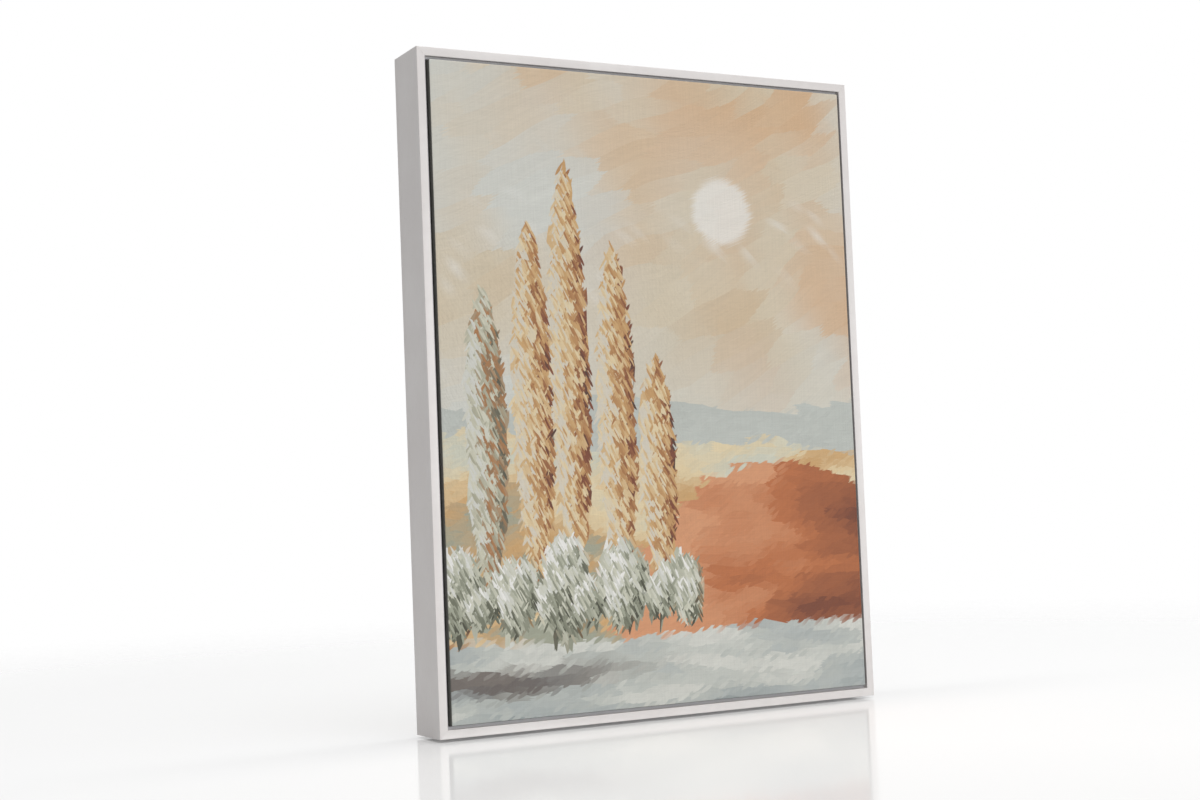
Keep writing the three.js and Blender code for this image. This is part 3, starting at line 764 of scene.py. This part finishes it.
def rail(side):
    """A length with 45 degree ends: a wall at the front, a ledge inside it and a flange at the back."""
    half = half_length(side, OUTER_HALF_WIDTH, OUTER_HEIGHT / 2)
    outer = -half_length(side, OUTER_HEIGHT / 2, OUTER_HALF_WIDTH)
    inner = outer + RAIL_FACE
    ledge = inner + LEDGE_WIDTH
    reach = outer + FLANGE_REACH
    piece = block(f"rail_{side}", (-half, FRONT_Y, outer), (half, BACK_Y, inner))
    with editing(piece):
        select_everything()
        bpy.ops.mesh.bisect(plane_co=(0, LEDGE_Y, 0), plane_no=(0, 1, 0))
        select("FACE", lambda face: face.normal.z > 0.9 and middle_of(face).y > LEDGE_Y)
        extrude(z=ledge - inner)
        select_everything()
        bpy.ops.mesh.bisect(plane_co=(0, FLANGE_FRONT_Y, 0), plane_no=(0, 1, 0))
        select("FACE", lambda face: face.normal.z > 0.9 and middle_of(face).y > FLANGE_FRONT_Y)
        extrude(z=reach - ledge)

        def front_edge(edge):
            return runs_along(edge, 0) and abs(edge.verts[0].co.y - FRONT_Y) < NEAR

        def other_edge(edge):
            y, z = edge.verts[0].co.y, edge.verts[0].co.z
            at_back = abs(y - BACK_Y) < NEAR
            at_flange = abs(z - reach) < NEAR
            return runs_along(edge, 0) and (at_back or at_flange)

        select("EDGE", front_edge)
        bevel(0.7 * MM, 4)
        select("EDGE", other_edge)
        bevel(0.6 * MM, 3)
        for way in (-1, 1):
            select_everything()
            bpy.ops.mesh.bisect(
                plane_co=(way * (half - MITRE_GAP), 0, outer),
                plane_no=(way, 0, 1),
                use_fill=True,
                clear_outer=True,
            )
        select("EDGE", lambda edge: sum(abs(face.normal.x) > 0.5 for face in edge.link_faces) == 1)
        bevel(0.05 * MM, 1)
    piece.data.transform(about_middle(side))
    return piece


# ---------------------------------------------------------------- screws and nails

SCREW_TOP_Y = BACK_Y - 0.15 * MM
DRILL_RADIUS = 1.45 * MM


def nodes_named(start):
    return [name for name in sorted(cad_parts) if name.startswith(start)]


MOUNTING_SCREWS = nodes_named("mounting_screw")
HANGER_SCREWS = nodes_named("hanger_screw")
V_NAILS = nodes_named("v_nail")


def centre_of(node):
    low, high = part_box(node)
    return (low + high) / 2


def on_back(node, y):
    """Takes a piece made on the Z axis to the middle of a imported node, facing the back at a depth."""
    centre = centre_of(node)
    return moved(centre.x, y, centre.z) @ facing_back()


def cross_cutter(arm, slot, depth, top):
    """A cross-shaped driver's tip, tapered, pointing down from a height."""
    half = slot / 2
    piece = block("driver_tip", (-half, -half, top - depth), (half, half, top + depth))
    with editing(piece):
        for way in (Vector((1, 0, 0)), Vector((-1, 0, 0)), Vector((0, 1, 0)), Vector((0, -1, 0))):

            def end_of_arm(face):
                return face.normal.dot(way) > 0.9 and (middle_of(face) - way * half).xy.length < half / 4

            select("FACE", end_of_arm)
            extrude(*(way * (arm - half)))
        select("FACE", lambda face: face.normal.z < -0.9)
        scale_about((0, 0, top - depth), 0.45, 0.45, 1)
    close_up(piece)
    return piece


def thread(radius, core, from_z, to_z, pitch):
    """Points of a threaded shank, from its head down."""
    points = []
    for turn in range(int((from_z - to_z) / pitch)):
        z = from_z - turn * pitch
        points += [(core, z - 0.25 * pitch), (radius, z - 0.55 * pitch), (core, z - 0.85 * pitch)]
    return points


def mounting_screw():
    """A countersunk screw pointing down the Z axis, its flat head at height 0."""
    head, neck, shank, core, length = 4.0 * MM, 2.4 * MM, 1.9 * MM, 1.35 * MM, 25 * MM
    profile = [(head - 0.2 * MM, 0), (head, -0.15 * MM), (head, -0.3 * MM), (shank, -neck)]
    profile.append((shank, -9 * MM))
    profile += thread(shank, core, -9.5 * MM, -length + 3 * MM, 1.6 * MM)
    profile += [(core, -length + 3 * MM), (0, -length)]
    piece = turned("mounting_screw", profile, 28)
    tip = cross_cutter(2.1 * MM, 0.9 * MM, 1.9 * MM, 0)
    cut(piece, tip)
    discard(tip)
    return piece


def pan_screw():
    """A round-headed screw for the hangers, the underside of its head at height 0."""
    head, high, rim = 2.9 * MM, 1.7 * MM, 0.35 * MM
    shank, core, length = 1.3 * MM, 0.95 * MM, 10 * MM
    quarter = [math.radians(15 * step) for step in range(7)]
    dome = [(head * (0.45 + 0.55 * math.sin(a)), rim + (high - rim) * math.cos(a)) for a in quarter]
    profile = [*dome, (head, 0.0), (shank, 0.0), (shank, -1.0 * MM)]
    profile += thread(shank, core, -1.2 * MM, -length + 2 * MM, 1.0 * MM)
    profile += [(core, -length + 2 * MM), (0, -length)]
    piece = turned("pan_screw", profile, 28)
    tip = cross_cutter(1.45 * MM, 0.7 * MM, 1.25 * MM, high)
    cut(piece, tip)
    discard(tip)
    return piece


def countersink():
    """What a mounting screw's hole takes out of the flange."""
    head, shank, room = 4 * MM, 1.9 * MM, 0.15 * MM
    profile = [
        (head + room, 2 * MM),
        (head + room, -0.3 * MM - room),
        (shank + room, -2.4 * MM - room),
        (shank + room, -26 * MM),
    ]
    return turned("countersink", profile, 28)


def nail_slot(node):
    """What a V-nail takes out of the rails: its own two legs, a little larger."""
    low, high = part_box(node)
    leg, sheet, room = 6.15 * MM, 0.95 * MM, 0.15 * MM
    x_way = 1 if low.x < 0 else -1
    z_way = 1 if low.z < MIDDLE_Z else -1
    x = low.x if x_way > 0 else high.x
    z = low.z if z_way > 0 else high.z

    def arm(wide, tall):
        first = (x - x_way * room, low.y - 0.3 * MM, z - z_way * room)
        second = (x + x_way * wide, BACK_Y + MM, z + z_way * tall)
        return block("slot", list(map(min, first, second)), list(map(max, first, second)))

    return [arm(leg, sheet), arm(sheet, leg)]


def rail_cutters():
    """Everything that is cut out of the rails, in place."""
    sink = countersink()
    drill = turned("drill", [(DRILL_RADIUS, 4 * MM), (DRILL_RADIUS, -11 * MM)], 20)
    cutters = [copy_of(sink, "cut", on_back(node, SCREW_TOP_Y)) for node in MOUNTING_SCREWS]
    cutters += [copy_of(drill, "cut", on_back(node, BACK_Y)) for node in HANGER_SCREWS]
    for node in V_NAILS:
        cutters += nail_slot(node)
    discard(sink, drill)
    return cutters


def close_by(piece, cutter):
    """True if the two pieces' boxes meet."""

    def span(mesh, axis):
        places = [vertex.co[axis] for vertex in mesh.vertices]
        return min(places), max(places)

    for axis in range(3):
        low, high = span(piece.data, axis)
        cut_low, cut_high = span(cutter.data, axis)
        if cut_high < low or cut_low > high:
            return False
    return True


def make_rails(lacquer):
    cutters = rail_cutters()
    for side in SIDES:
        piece = rail(side)
        for cutter in cutters:
            if close_by(piece, cutter):
                cut(piece, cutter)
        finished(piece, lacquer, "frame", [f"frame_rail_{side}"])
    discard(*cutters)


def make_screws(steel):
    """Each screw is turned by its own amount, as if driven by hand."""
    flat_head, round_head = mounting_screw(), pan_screw()
    flat_set = (flat_head, MOUNTING_SCREWS, SCREW_TOP_Y, 37)
    round_set = (round_head, HANGER_SCREWS, STRAP_TOP_Y, 29)
    for screw, nodes, top_y, turn in (flat_set, round_set):
        for node in nodes:
            matrix = on_back(node, top_y) @ rotation(turn * len(node) % 90, "Z")
            piece = copy_of(screw, f"{node}_visible", matrix)
            finished(piece, steel, "frame", [node])
    discard(flat_head, round_head)


# ---------------------------------------------------------------- hangers

HANGER_X = centre_of("hanger_strap_right").x
BARREL_RADIUS = 2.05 * MM
PIVOT_Y = BACK_Y + BARREL_RADIUS
PIVOT_Z = 480 * MM
STRAP_WIDTH = 10 * MM
STRAP_LENGTH = 36 * MM
STRAP_SHEET = 0.78 * MM
STRAP_LAYERS = 0.82 * MM  # from the middle of one layer to the middle of the other
STRAP_TOP_Y = BACK_Y + STRAP_LAYERS + STRAP_SHEET
RING_WIRE = 1.1 * MM
RING_HALF_WIDTH = 7.3 * MM
RING_LEG = 8.5 * MM
RING_CORNER = 1.9 * MM
RING_LEAN = 4.5  # degrees, out from the strap


def hanger_ring():
    """Wire bent into a D and closed in its straight bar, which lies on the local X axis."""
    piece = circle("hanger_ring", 16, RING_WIRE, fill_type="NOTHING", rotation=(0, math.pi / 2, 0))
    straight = RING_HALF_WIDTH - RING_CORNER

    def curve(steps, angle, x, z):
        bpy.ops.mesh.spin(steps=steps, angle=angle, center=(x, 0, z), axis=(0, -1, 0))

    with editing(piece):
        bpy.ops.mesh.select_mode(type="EDGE")
        select_everything()
        extrude(x=straight)
        curve(5, math.pi / 2, straight, -RING_CORNER)
        extrude(z=RING_CORNER - RING_LEG)
        curve(24, math.pi, 0, -RING_LEG)
        extrude(z=RING_LEG - RING_CORNER)
        curve(5, math.pi / 2, -straight, -RING_CORNER)
        extrude(x=straight)
    close_up(piece)
    piece.data.transform(rotation(RING_LEAN, "X"))
    return piece


def hanger_strap():
    """A steel strip folded in two round the ring's bar: the bar at the local origin, the foot below."""
    middle = BARREL_RADIUS - STRAP_SHEET / 2
    outer = middle - STRAP_LAYERS
    piece = primitive(
        "hanger_strap",
        bpy.ops.mesh.primitive_plane_add,
        size=1,
        rotation=(math.pi / 2, 0, 0),
        location=(0, -middle, -STRAP_LENGTH / 2),
        scale=(STRAP_WIDTH, STRAP_LENGTH, 1),
    )
    wrap = 1.5 * math.pi + math.asin(outer / middle)
    with editing(piece):
        select("EDGE", lambda edge: runs_along(edge, 0) and middle_of(edge).z > -MM)
        bpy.ops.mesh.spin(steps=20, angle=wrap, center=(0, 0, 0), axis=(1, 0, 0))
        extrude(z=-0.4 * MM)
        extrude(z=-STRAP_LENGTH + middle * math.cos(math.asin(outer / middle)) + 0.4 * MM)
        select_everything()
        bpy.ops.mesh.remove_doubles(threshold=DOUBLED)
        select("EDGE", lambda edge: runs_along(edge, 0) and middle_of(edge).z < -STRAP_LENGTH + MM)
        bpy.ops.mesh.bevel(offset=4.4 * MM, segments=8, affect="VERTICES")
        select_everything()
        bpy.ops.mesh.normals_make_consistent(inside=False)
    apply_modifier(piece, "SOLIDIFY", thickness=STRAP_SHEET, offset=0)
    drill = turned("drill", [(DRILL_RADIUS, 3 * MM), (DRILL_RADIUS, -3 * MM)], 20)
    for node in HANGER_SCREWS[:2]:
        hole = copy_of(drill, "hole", moved(0, -outer, centre_of(node).z - PIVOT_Z) @ facing_back())
        cut(piece, hole)
        discard(hole)
    discard(drill)
    with editing(piece):
        select("EDGE", creased)
        bevel(0.1 * MM, 1)
    return piece


def make_hangers(steel):
    ring = hanger_ring()
    strap = hanger_strap()
    for side, x in (("left", -HANGER_X), ("right", HANGER_X)):
        place = moved(x, PIVOT_Y, PIVOT_Z)
        ring_piece = copy_of(ring, f"ring_{side}_visible", place)
        finished(ring_piece, steel, f"ring_{side}", [f"hanger_ring_{side}"])
        strap_piece = copy_of(strap, f"strap_{side}_visible", place)
        finished(strap_piece, steel, "frame", [f"hanger_strap_{side}"])
    discard(ring, strap)


def make_bumpers(rubber):
    """Soft round feet that keep the frame off the wall."""
    radius, height, round_over = 5.5 * MM, 3.4 * MM, 1.3 * MM
    steps = [math.radians(18 * step) for step in range(6)]
    shoulder = [
        (radius - round_over + round_over * math.cos(a), height - round_over + round_over * math.sin(a))
        for a in steps
    ]
    dish = [(radius - 2.2 * MM, height - 0.05 * MM), (radius - 3.2 * MM, height - 0.35 * MM)]
    bumper = turned("bumper", [(radius - 0.3 * MM, 0), (radius, 0.3 * MM), *shoulder, *dish], 40)
    for side in ("left", "right"):
        piece = copy_of(bumper, f"bumper_{side}", on_back(f"wall_bumper_{side}", BACK_Y))
        finished(piece, rubber, "frame", [f"wall_bumper_{side}"])
    discard(bumper)


# ---------------------------------------------------------------- stretcher


def make_brace(pine):
    """The flat board across the middle of the stretcher, with a tenon at each end."""
    low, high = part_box("stretcher_cross_brace")
    tenon_length, tenon_thick, tenon_height = 14 * MM, 6 * MM, 28 * MM
    half = high.x - tenon_length
    middle = (low + high) / 2
    piece = block("cross_brace", (-half, low.y, low.z), (half, high.y, high.z))
    with editing(piece):
        select("EDGE", lambda edge: runs_along(edge, 0))
        bevel(1.2 * MM, 3)
        for way in (-1, 1):
            select("FACE", lambda face: face.normal.x * way > 0.9 and middle_of(face).x * way > half - MM)
            extrude()
            shrink_y, shrink_z = tenon_thick / (high.y - low.y), tenon_height / (high.z - low.z)
            scale_about((way * half, middle.y, middle.z), 1, shrink_y, shrink_z)
            extrude(x=way * tenon_length)
    close_up(piece)
    finished(piece, pine, "frame", ["stretcher_cross_brace"])


def corner_key(low_y, high_y):
    """A flat wedge along the local X axis, its thin end at -X, between two depths."""
    half_length, half_tip, half_tail = 15 * MM, 1.5 * MM, 6.5 * MM
    piece = block("key", (-half_length, low_y, -half_tail), (half_length, high_y, half_tail))
    with editing(piece):
        select("FACE", lambda face: face.normal.x < -0.9)
        scale_about((-half_length, low_y, 0), 1, 1, half_tip / half_tail)
        select("EDGE", lambda edge: runs_along(edge, 1))
        bevel(0.9 * MM, 4)
        select("EDGE", creased)
        bevel(0.25 * MM, 2)
    return piece


def make_keys(beech):
    corners = {
        "bottom_left": (-1, -1, 0),
        "top_left": (-1, 1, 90),
        "top_right": (1, 1, 180),
        "bottom_right": (1, -1, -90),
    }
    for part, fan in (("inner", 11), ("outer", -11)):
        low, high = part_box(f"corner_key_{part}_bottom_left")
        wedge = corner_key(low.y, high.y)
        for corner, (x, z, turn) in corners.items():
            place = moved(x * BAR_INNER_HALF_WIDTH, 0, MIDDLE_Z + z * BAR_INNER_HALF_HEIGHT)
            piece = copy_of(wedge, f"key_{part}_{corner}", place @ rotation(turn - 45 + fan, "Y"))
            finished(piece, beech, "frame", [f"corner_key_{part}_{corner}"])
        discard(wedge)


# ---------------------------------------------------------------- canvas

FRONT_GRID = (92, 122)
SIDE_DEPTHS = 5
FLAP_STEPS = 5
FOLD_HEIGHT = 0.7 * MM
FOLD_REACH = 16 * MM
PRESSED_EDGE = 26 * MM  # how much of the flap lies under the frame's flange
STAPLE_INSET = 31 * MM  # from the canvas's outer side
STAPLE_SPACING = 46 * MM
STAPLE_FROM_CORNER = 62 * MM
LOOSE_THREAD_SPACING = 7 * MM


def staple_places(side):
    """Distances of the staples along a side, from its middle."""
    half = half_length(side, CANVAS_WIDTH / 2, CANVAS_HEIGHT / 2) - STAPLE_FROM_CORNER
    count = round(2 * half / STAPLE_SPACING) + 1
    return [-half + 2 * half * number / (count - 1) for number in range(count)]


def pucker(vertex):
    """How far the loose edge of the flap stands off the bars between its staples."""
    x, z = vertex.co.x, vertex.co.z - MIDDLE_Z
    on_side = CANVAS_WIDTH / 2 - abs(x) < CANVAS_HEIGHT / 2 - abs(z)
    inward = min(CANVAS_WIDTH / 2 - abs(x), CANVAS_HEIGHT / 2 - abs(z))
    along = z if on_side else x
    side = "left" if on_side else "bottom"
    free = min(1.0, max(0.0, (inward - PRESSED_EDGE - 1.5 * MM) / (FLAP_WIDTH - PRESSED_EDGE)))
    nearest = min(abs(along - place) for place in staple_places(side))
    slack = min(1.0, nearest / (STAPLE_SPACING / 2)) ** 1.5
    wander = 0.5 + noise.noise(Vector((along / (23 * MM), 7.0 if on_side else 2.0, 3.0)))
    return free * slack * wander * 1.5 * MM


def overlap(vertex):
    """How far the top and bottom flaps are lifted at the corners, where they lie over the others."""
    from_side = CANVAS_WIDTH / 2 - abs(vertex.co.x)
    from_end = CANVAS_HEIGHT / 2 - abs(vertex.co.z - MIDDLE_Z)
    if from_side < from_end:
        return 0.0
    beside_fold = max(0.0, 1.0 - (from_side - from_end) / FOLD_REACH)
    loose = min(1.0, max(0.0, (from_end - PRESSED_EDGE) / (FLAP_WIDTH - PRESSED_EDGE)))
    return beside_fold * loose * FOLD_HEIGHT


def canvas_sheet():
    """The canvas's outer face, from the front over the sides to the flaps, not yet thick."""
    piece = primitive(
        "canvas_cloth",
        bpy.ops.mesh.primitive_grid_add,
        x_subdivisions=FRONT_GRID[0],
        y_subdivisions=FRONT_GRID[1],
        size=1,
        rotation=(math.pi / 2, 0, 0),
        location=(0, CANVAS_LOW.y, MIDDLE_Z),
        scale=(CANVAS_WIDTH, CANVAS_HEIGHT, 1),
    )
    depth = CANVAS_HIGH.y - CANVAS_LOW.y
    flap_step = FLAP_WIDTH / FLAP_STEPS
    with editing(piece):
        select("EDGE", lambda edge: edge.is_boundary)
        for _ in range(SIDE_DEPTHS):
            extrude(y=depth / SIDE_DEPTHS)
        for step in range(FLAP_STEPS):
            extrude()
            wide = CANVAS_WIDTH - 2 * step * flap_step
            high = CANVAS_HEIGHT - 2 * step * flap_step
            scale_about((0, 0, MIDDLE_Z), 1 - 2 * flap_step / wide, 1, 1 - 2 * flap_step / high)
        select("EDGE", creased)
        bevel(1.1 * MM, 4)

        def corner_fold(edge):
            way = (edge.verts[1].co - edge.verts[0].co).normalized()
            inside = middle_of(edge).y > CANVAS_HIGH.y - NEAR
            return inside and abs(abs(way.x) - abs(way.z)) < 0.02 and abs(way.y) < 0.02

        select("EDGE", corner_fold)
        bevel(0.3 * MM, 1)
    return piece


def paint_faces(piece):
    """The front takes the first finish and what is wrapped round takes the second."""
    for face in piece.data.polygons:
        face.material_index = 0 if face.normal.y < -0.6 else 1


def make_canvas():
    piece = canvas_sheet()
    for vertex in piece.data.vertices:
        x, y, z = vertex.co
        if y > CANVAS_HIGH.y - NEAR:
            vertex.co.y += pucker(vertex) + overlap(vertex)
        else:
            ripple = noise.noise(Vector((x * 14, y * 30, z * 14))) * 0.12 * MM
            vertex.co.y += ripple if y < CANVAS_LOW.y + NEAR else 0
    for material in (painted_front(), wrapped_edge(), raw_cotton()):
        piece.data.materials.append(material)
    paint_faces(piece)
    apply_modifier(
        piece,
        "SOLIDIFY",
        thickness=CANVAS_THICK,
        offset=-1,
        use_even_offset=True,
        material_offset=2,
        material_offset_rim=2,
    )
    finished(piece, None, "frame", ["canvas"])


def staple():
    """A wire staple: its crown along the local X axis and its legs down the Z axis."""
    half, wide, thick, leg = 5.4 * MM, 0.62 * MM, 0.55 * MM, 8 * MM
    piece = block("staple", (-half, -wide, 0), (half, wide, thick))
    with editing(piece):
        for way in (-1, 1):
            select_everything()
            bpy.ops.mesh.bisect(plane_co=(way * (half - thick), 0, 0), plane_no=(1, 0, 0))
            select("FACE", lambda face: face.normal.z < -0.9 and middle_of(face).x * way > half - thick)
            extrude(z=-leg)

        def crown_edge(edge):
            return edge.is_convex and edge.calc_face_angle(0) > 1 and middle_of(edge).z > -MM

        select("EDGE", crown_edge)
        bevel(0.18 * MM, 2)
    return piece


def make_staples(steel):
    """Staples through the folded canvas into the backs of the bars, each a little askew."""
    chance = random.Random(4)
    first = staple()
    for side in SIDES:
        inward = STAPLE_INSET - half_length(side, CANVAS_HEIGHT / 2, CANVAS_WIDTH / 2)
        copies = []
        for place in staple_places(side):
            askew = rotation(chance.uniform(-14, 14), "Z")
            along, across = chance.uniform(-2, 2) * MM, chance.uniform(-0.6, 0.6) * MM
            spot = moved(place + along, CANVAS_HIGH.y, inward + across)
            matrix = about_middle(side) @ spot @ facing_back() @ askew
            copies.append(copy_of(first, "staple_copy", matrix))
        row = join(copies, f"staples_{side}")
        finished(row, steel, "frame")
    discard(first)


def frayed_thread():
    """One loose thread, along the local X axis from its root."""
    piece = circle("frayed_thread", 5, 0.13 * MM, fill_type="NGON", rotation=(0, math.pi / 2, 0))
    with editing(piece):
        select_everything()
        for sideways in (0.00, 0.10, 0.22, 0.30, 0.26):
            extrude(x=0.9 * MM, y=sideways * 0.5 * MM, z=sideways * MM)
            bpy.ops.transform.resize(value=(0.9, 0.9, 0.9))
    close_up(piece)
    return piece


def make_frayed_threads(cotton):
    """Threads that have worked loose from the canvas's raw edge."""
    chance = random.Random(9)
    first = frayed_thread()
    for side in SIDES:
        half = half_length(side, CANVAS_WIDTH / 2, CANVAS_HEIGHT / 2) - FLAP_WIDTH - 3 * MM
        inward = FLAP_WIDTH - half_length(side, CANVAS_HEIGHT / 2, CANVAS_WIDTH / 2)
        copies = []
        for _ in range(int(2 * half / LOOSE_THREAD_SPACING)):
            spot = moved(chance.uniform(-half, half), CANVAS_HIGH.y - 0.25 * MM, inward - 0.3 * MM)
            lean = rotation(-90 + chance.uniform(-38, 38), "Y")
            length = chance.uniform(0.35, 1.3)
            shape = Matrix.Diagonal((length, chance.choice((-1, 1)) * length * 0.9, 1, 1))
            matrix = about_middle(side) @ spot @ lean @ rotation(90, "X") @ shape
            copies.append(copy_of(first, "thread_copy", matrix))
        row = join(copies, f"frayed_edge_{side}")
        close_up(row)
        finished(row, cotton, "frame")
    discard(first)


# ---------------------------------------------------------------- carried-over nodes


def repaint(node, material):
    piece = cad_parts[node]
    piece.data.materials.clear()
    piece.data.materials.append(material)


# ---------------------------------------------------------------- studio

FLOOR_Z = -2.6 * MM  # a little below the frame, so that a dark line of contact shows under it
FADE_FROM, FADE_TO = 0.7, 1.9  # from the middle of the floor


def camera():
    """Nearly level, from the front left."""
    data = bpy.data.cameras.new("camera")
    data.lens = 53.81
    data.sensor_width = 36
    eye = bpy.data.objects.new("camera", data)
    eye.location = (-0.8650, -1.5347, 0.2031)
    eye.rotation_euler = [math.radians(angle) for angle in (93.414, 2.291, -27.858)]
    bpy.context.scene.collection.objects.link(eye)
    bpy.context.scene.camera = eye


def softbox(name, place, target, width, depth, watts):
    data = bpy.data.lights.new(name, "AREA")
    data.shape = "RECTANGLE"
    data.size = width
    data.size_y = depth
    data.energy = watts
    lamp = bpy.data.objects.new(name, data)
    lamp.location = place
    lamp.visible_camera = False  # it would show in a view from behind
    lamp.rotation_euler = (Vector(target) - Vector(place)).to_track_quat("-Z", "Y").to_euler()
    bpy.context.scene.collection.objects.link(lamp)


def studio_world(ambient):
    """Plain white all round, dimmer for the light that it gives than for the eye."""
    world = bpy.data.worlds.new("studio")
    bpy.context.scene.world = world
    world.use_nodes = True
    nodes, links = world.node_tree.nodes, world.node_tree.links
    nodes.clear()
    seen = nodes.new("ShaderNodeBackground")
    seen.inputs["Strength"].default_value = 1.0
    given = nodes.new("ShaderNodeBackground")
    given.inputs["Strength"].default_value = ambient
    for background in (seen, given):
        background.inputs["Color"].default_value = (1, 1, 1, 1)
    path = nodes.new("ShaderNodeLightPath")
    mix = nodes.new("ShaderNodeMixShader")
    out = nodes.new("ShaderNodeOutputWorld")
    links.new(path.outputs["Is Diffuse Ray"], mix.inputs[0])
    links.new(seen.outputs[0], mix.inputs[1])
    links.new(given.outputs[0], mix.inputs[2])
    links.new(mix.outputs[0], out.inputs["Surface"])


def studio_floor():
    """A pale floor with a soft gloss, which fades out into the white over its next metre or so."""
    bpy.ops.object.select_all(action="DESELECT")
    bpy.ops.mesh.primitive_circle_add(vertices=96, radius=4, fill_type="NGON", location=(0, 0, FLOOR_Z))
    floor = bpy.context.object
    floor.name = "studio_floor"
    f = Finish("studio_floor")
    x, y, z = f.place()
    far = ((x * x + y * y) ** 0.5).step(FADE_FROM / MM, FADE_TO / MM)
    clear = f.node("ShaderNodeBsdfTransparent")
    sockets = {
        "Base Color": tint(249, 249, 249),
        "Roughness": 0.09,
        "Specular IOR Level": 0.05,
        "Emission Color": tint(255, 255, 255),
        "Emission Strength": 0.09,
    }
    pale = f.node("ShaderNodeBsdfPrincipled", sockets=sockets)
    dim = f.node("ShaderNodeBsdfDiffuse", sockets={"Color": tint(234, 234, 234)})
    path = f.node("ShaderNodeLightPath", out="Is Diffuse Ray")
    ground = f.node("ShaderNodeMixShader", sockets={0: path, 1: pale, 2: dim})
    faded = f.node("ShaderNodeMixShader", sockets={0: far, 1: ground, 2: clear})
    floor.data.materials.append(f.output(faded))
    floor.data.materials[0].cycles.emission_sampling = "NONE"


def studio():
    bpy.context.scene.view_settings.view_transform = "Standard"
    camera()
    studio_world(0.30)
    softbox("key", (1.1, -4.4, 0.5), (0, 0, 0.3), 2.6, 0.8, 74)
    softbox("overhead", (0.1, -0.5, 2.6), (0, 0, 0), 2.4, 2.4, 28)
    softbox("strip", (0.1, 0.09, 2.6), (0.1, 0.09, 0), 2.4, 0.36, 17)
    studio_floor()


def build():
    lacquer = white_lacquer()
    steel = zinc_steel()
    pine = (tint(226, 198, 152), tint(186, 140, 88), 6.5, 0.35)
    pine_across = wood("planed_pine_across", "x", *pine)
    pine_upright = wood("planed_pine_upright", "z", *pine)
    beech = wood("beech", "x", tint(214, 176, 130), tint(172, 124, 82), 2.6, 0.45)
    make_rails(lacquer)
    make_screws(steel)
    make_hangers(steel)
    make_bumpers(black_rubber())
    make_brace(pine_across)
    make_keys(beech)
    make_canvas()
    make_staples(steel)
    make_frayed_threads(raw_cotton())
    for side in SIDES:
        board = pine_across if side in ("bottom", "top") else pine_upright
        repaint(f"stretcher_bar_{side}", board)
    for node in V_NAILS:
        repaint(node, steel)


studio()
build()
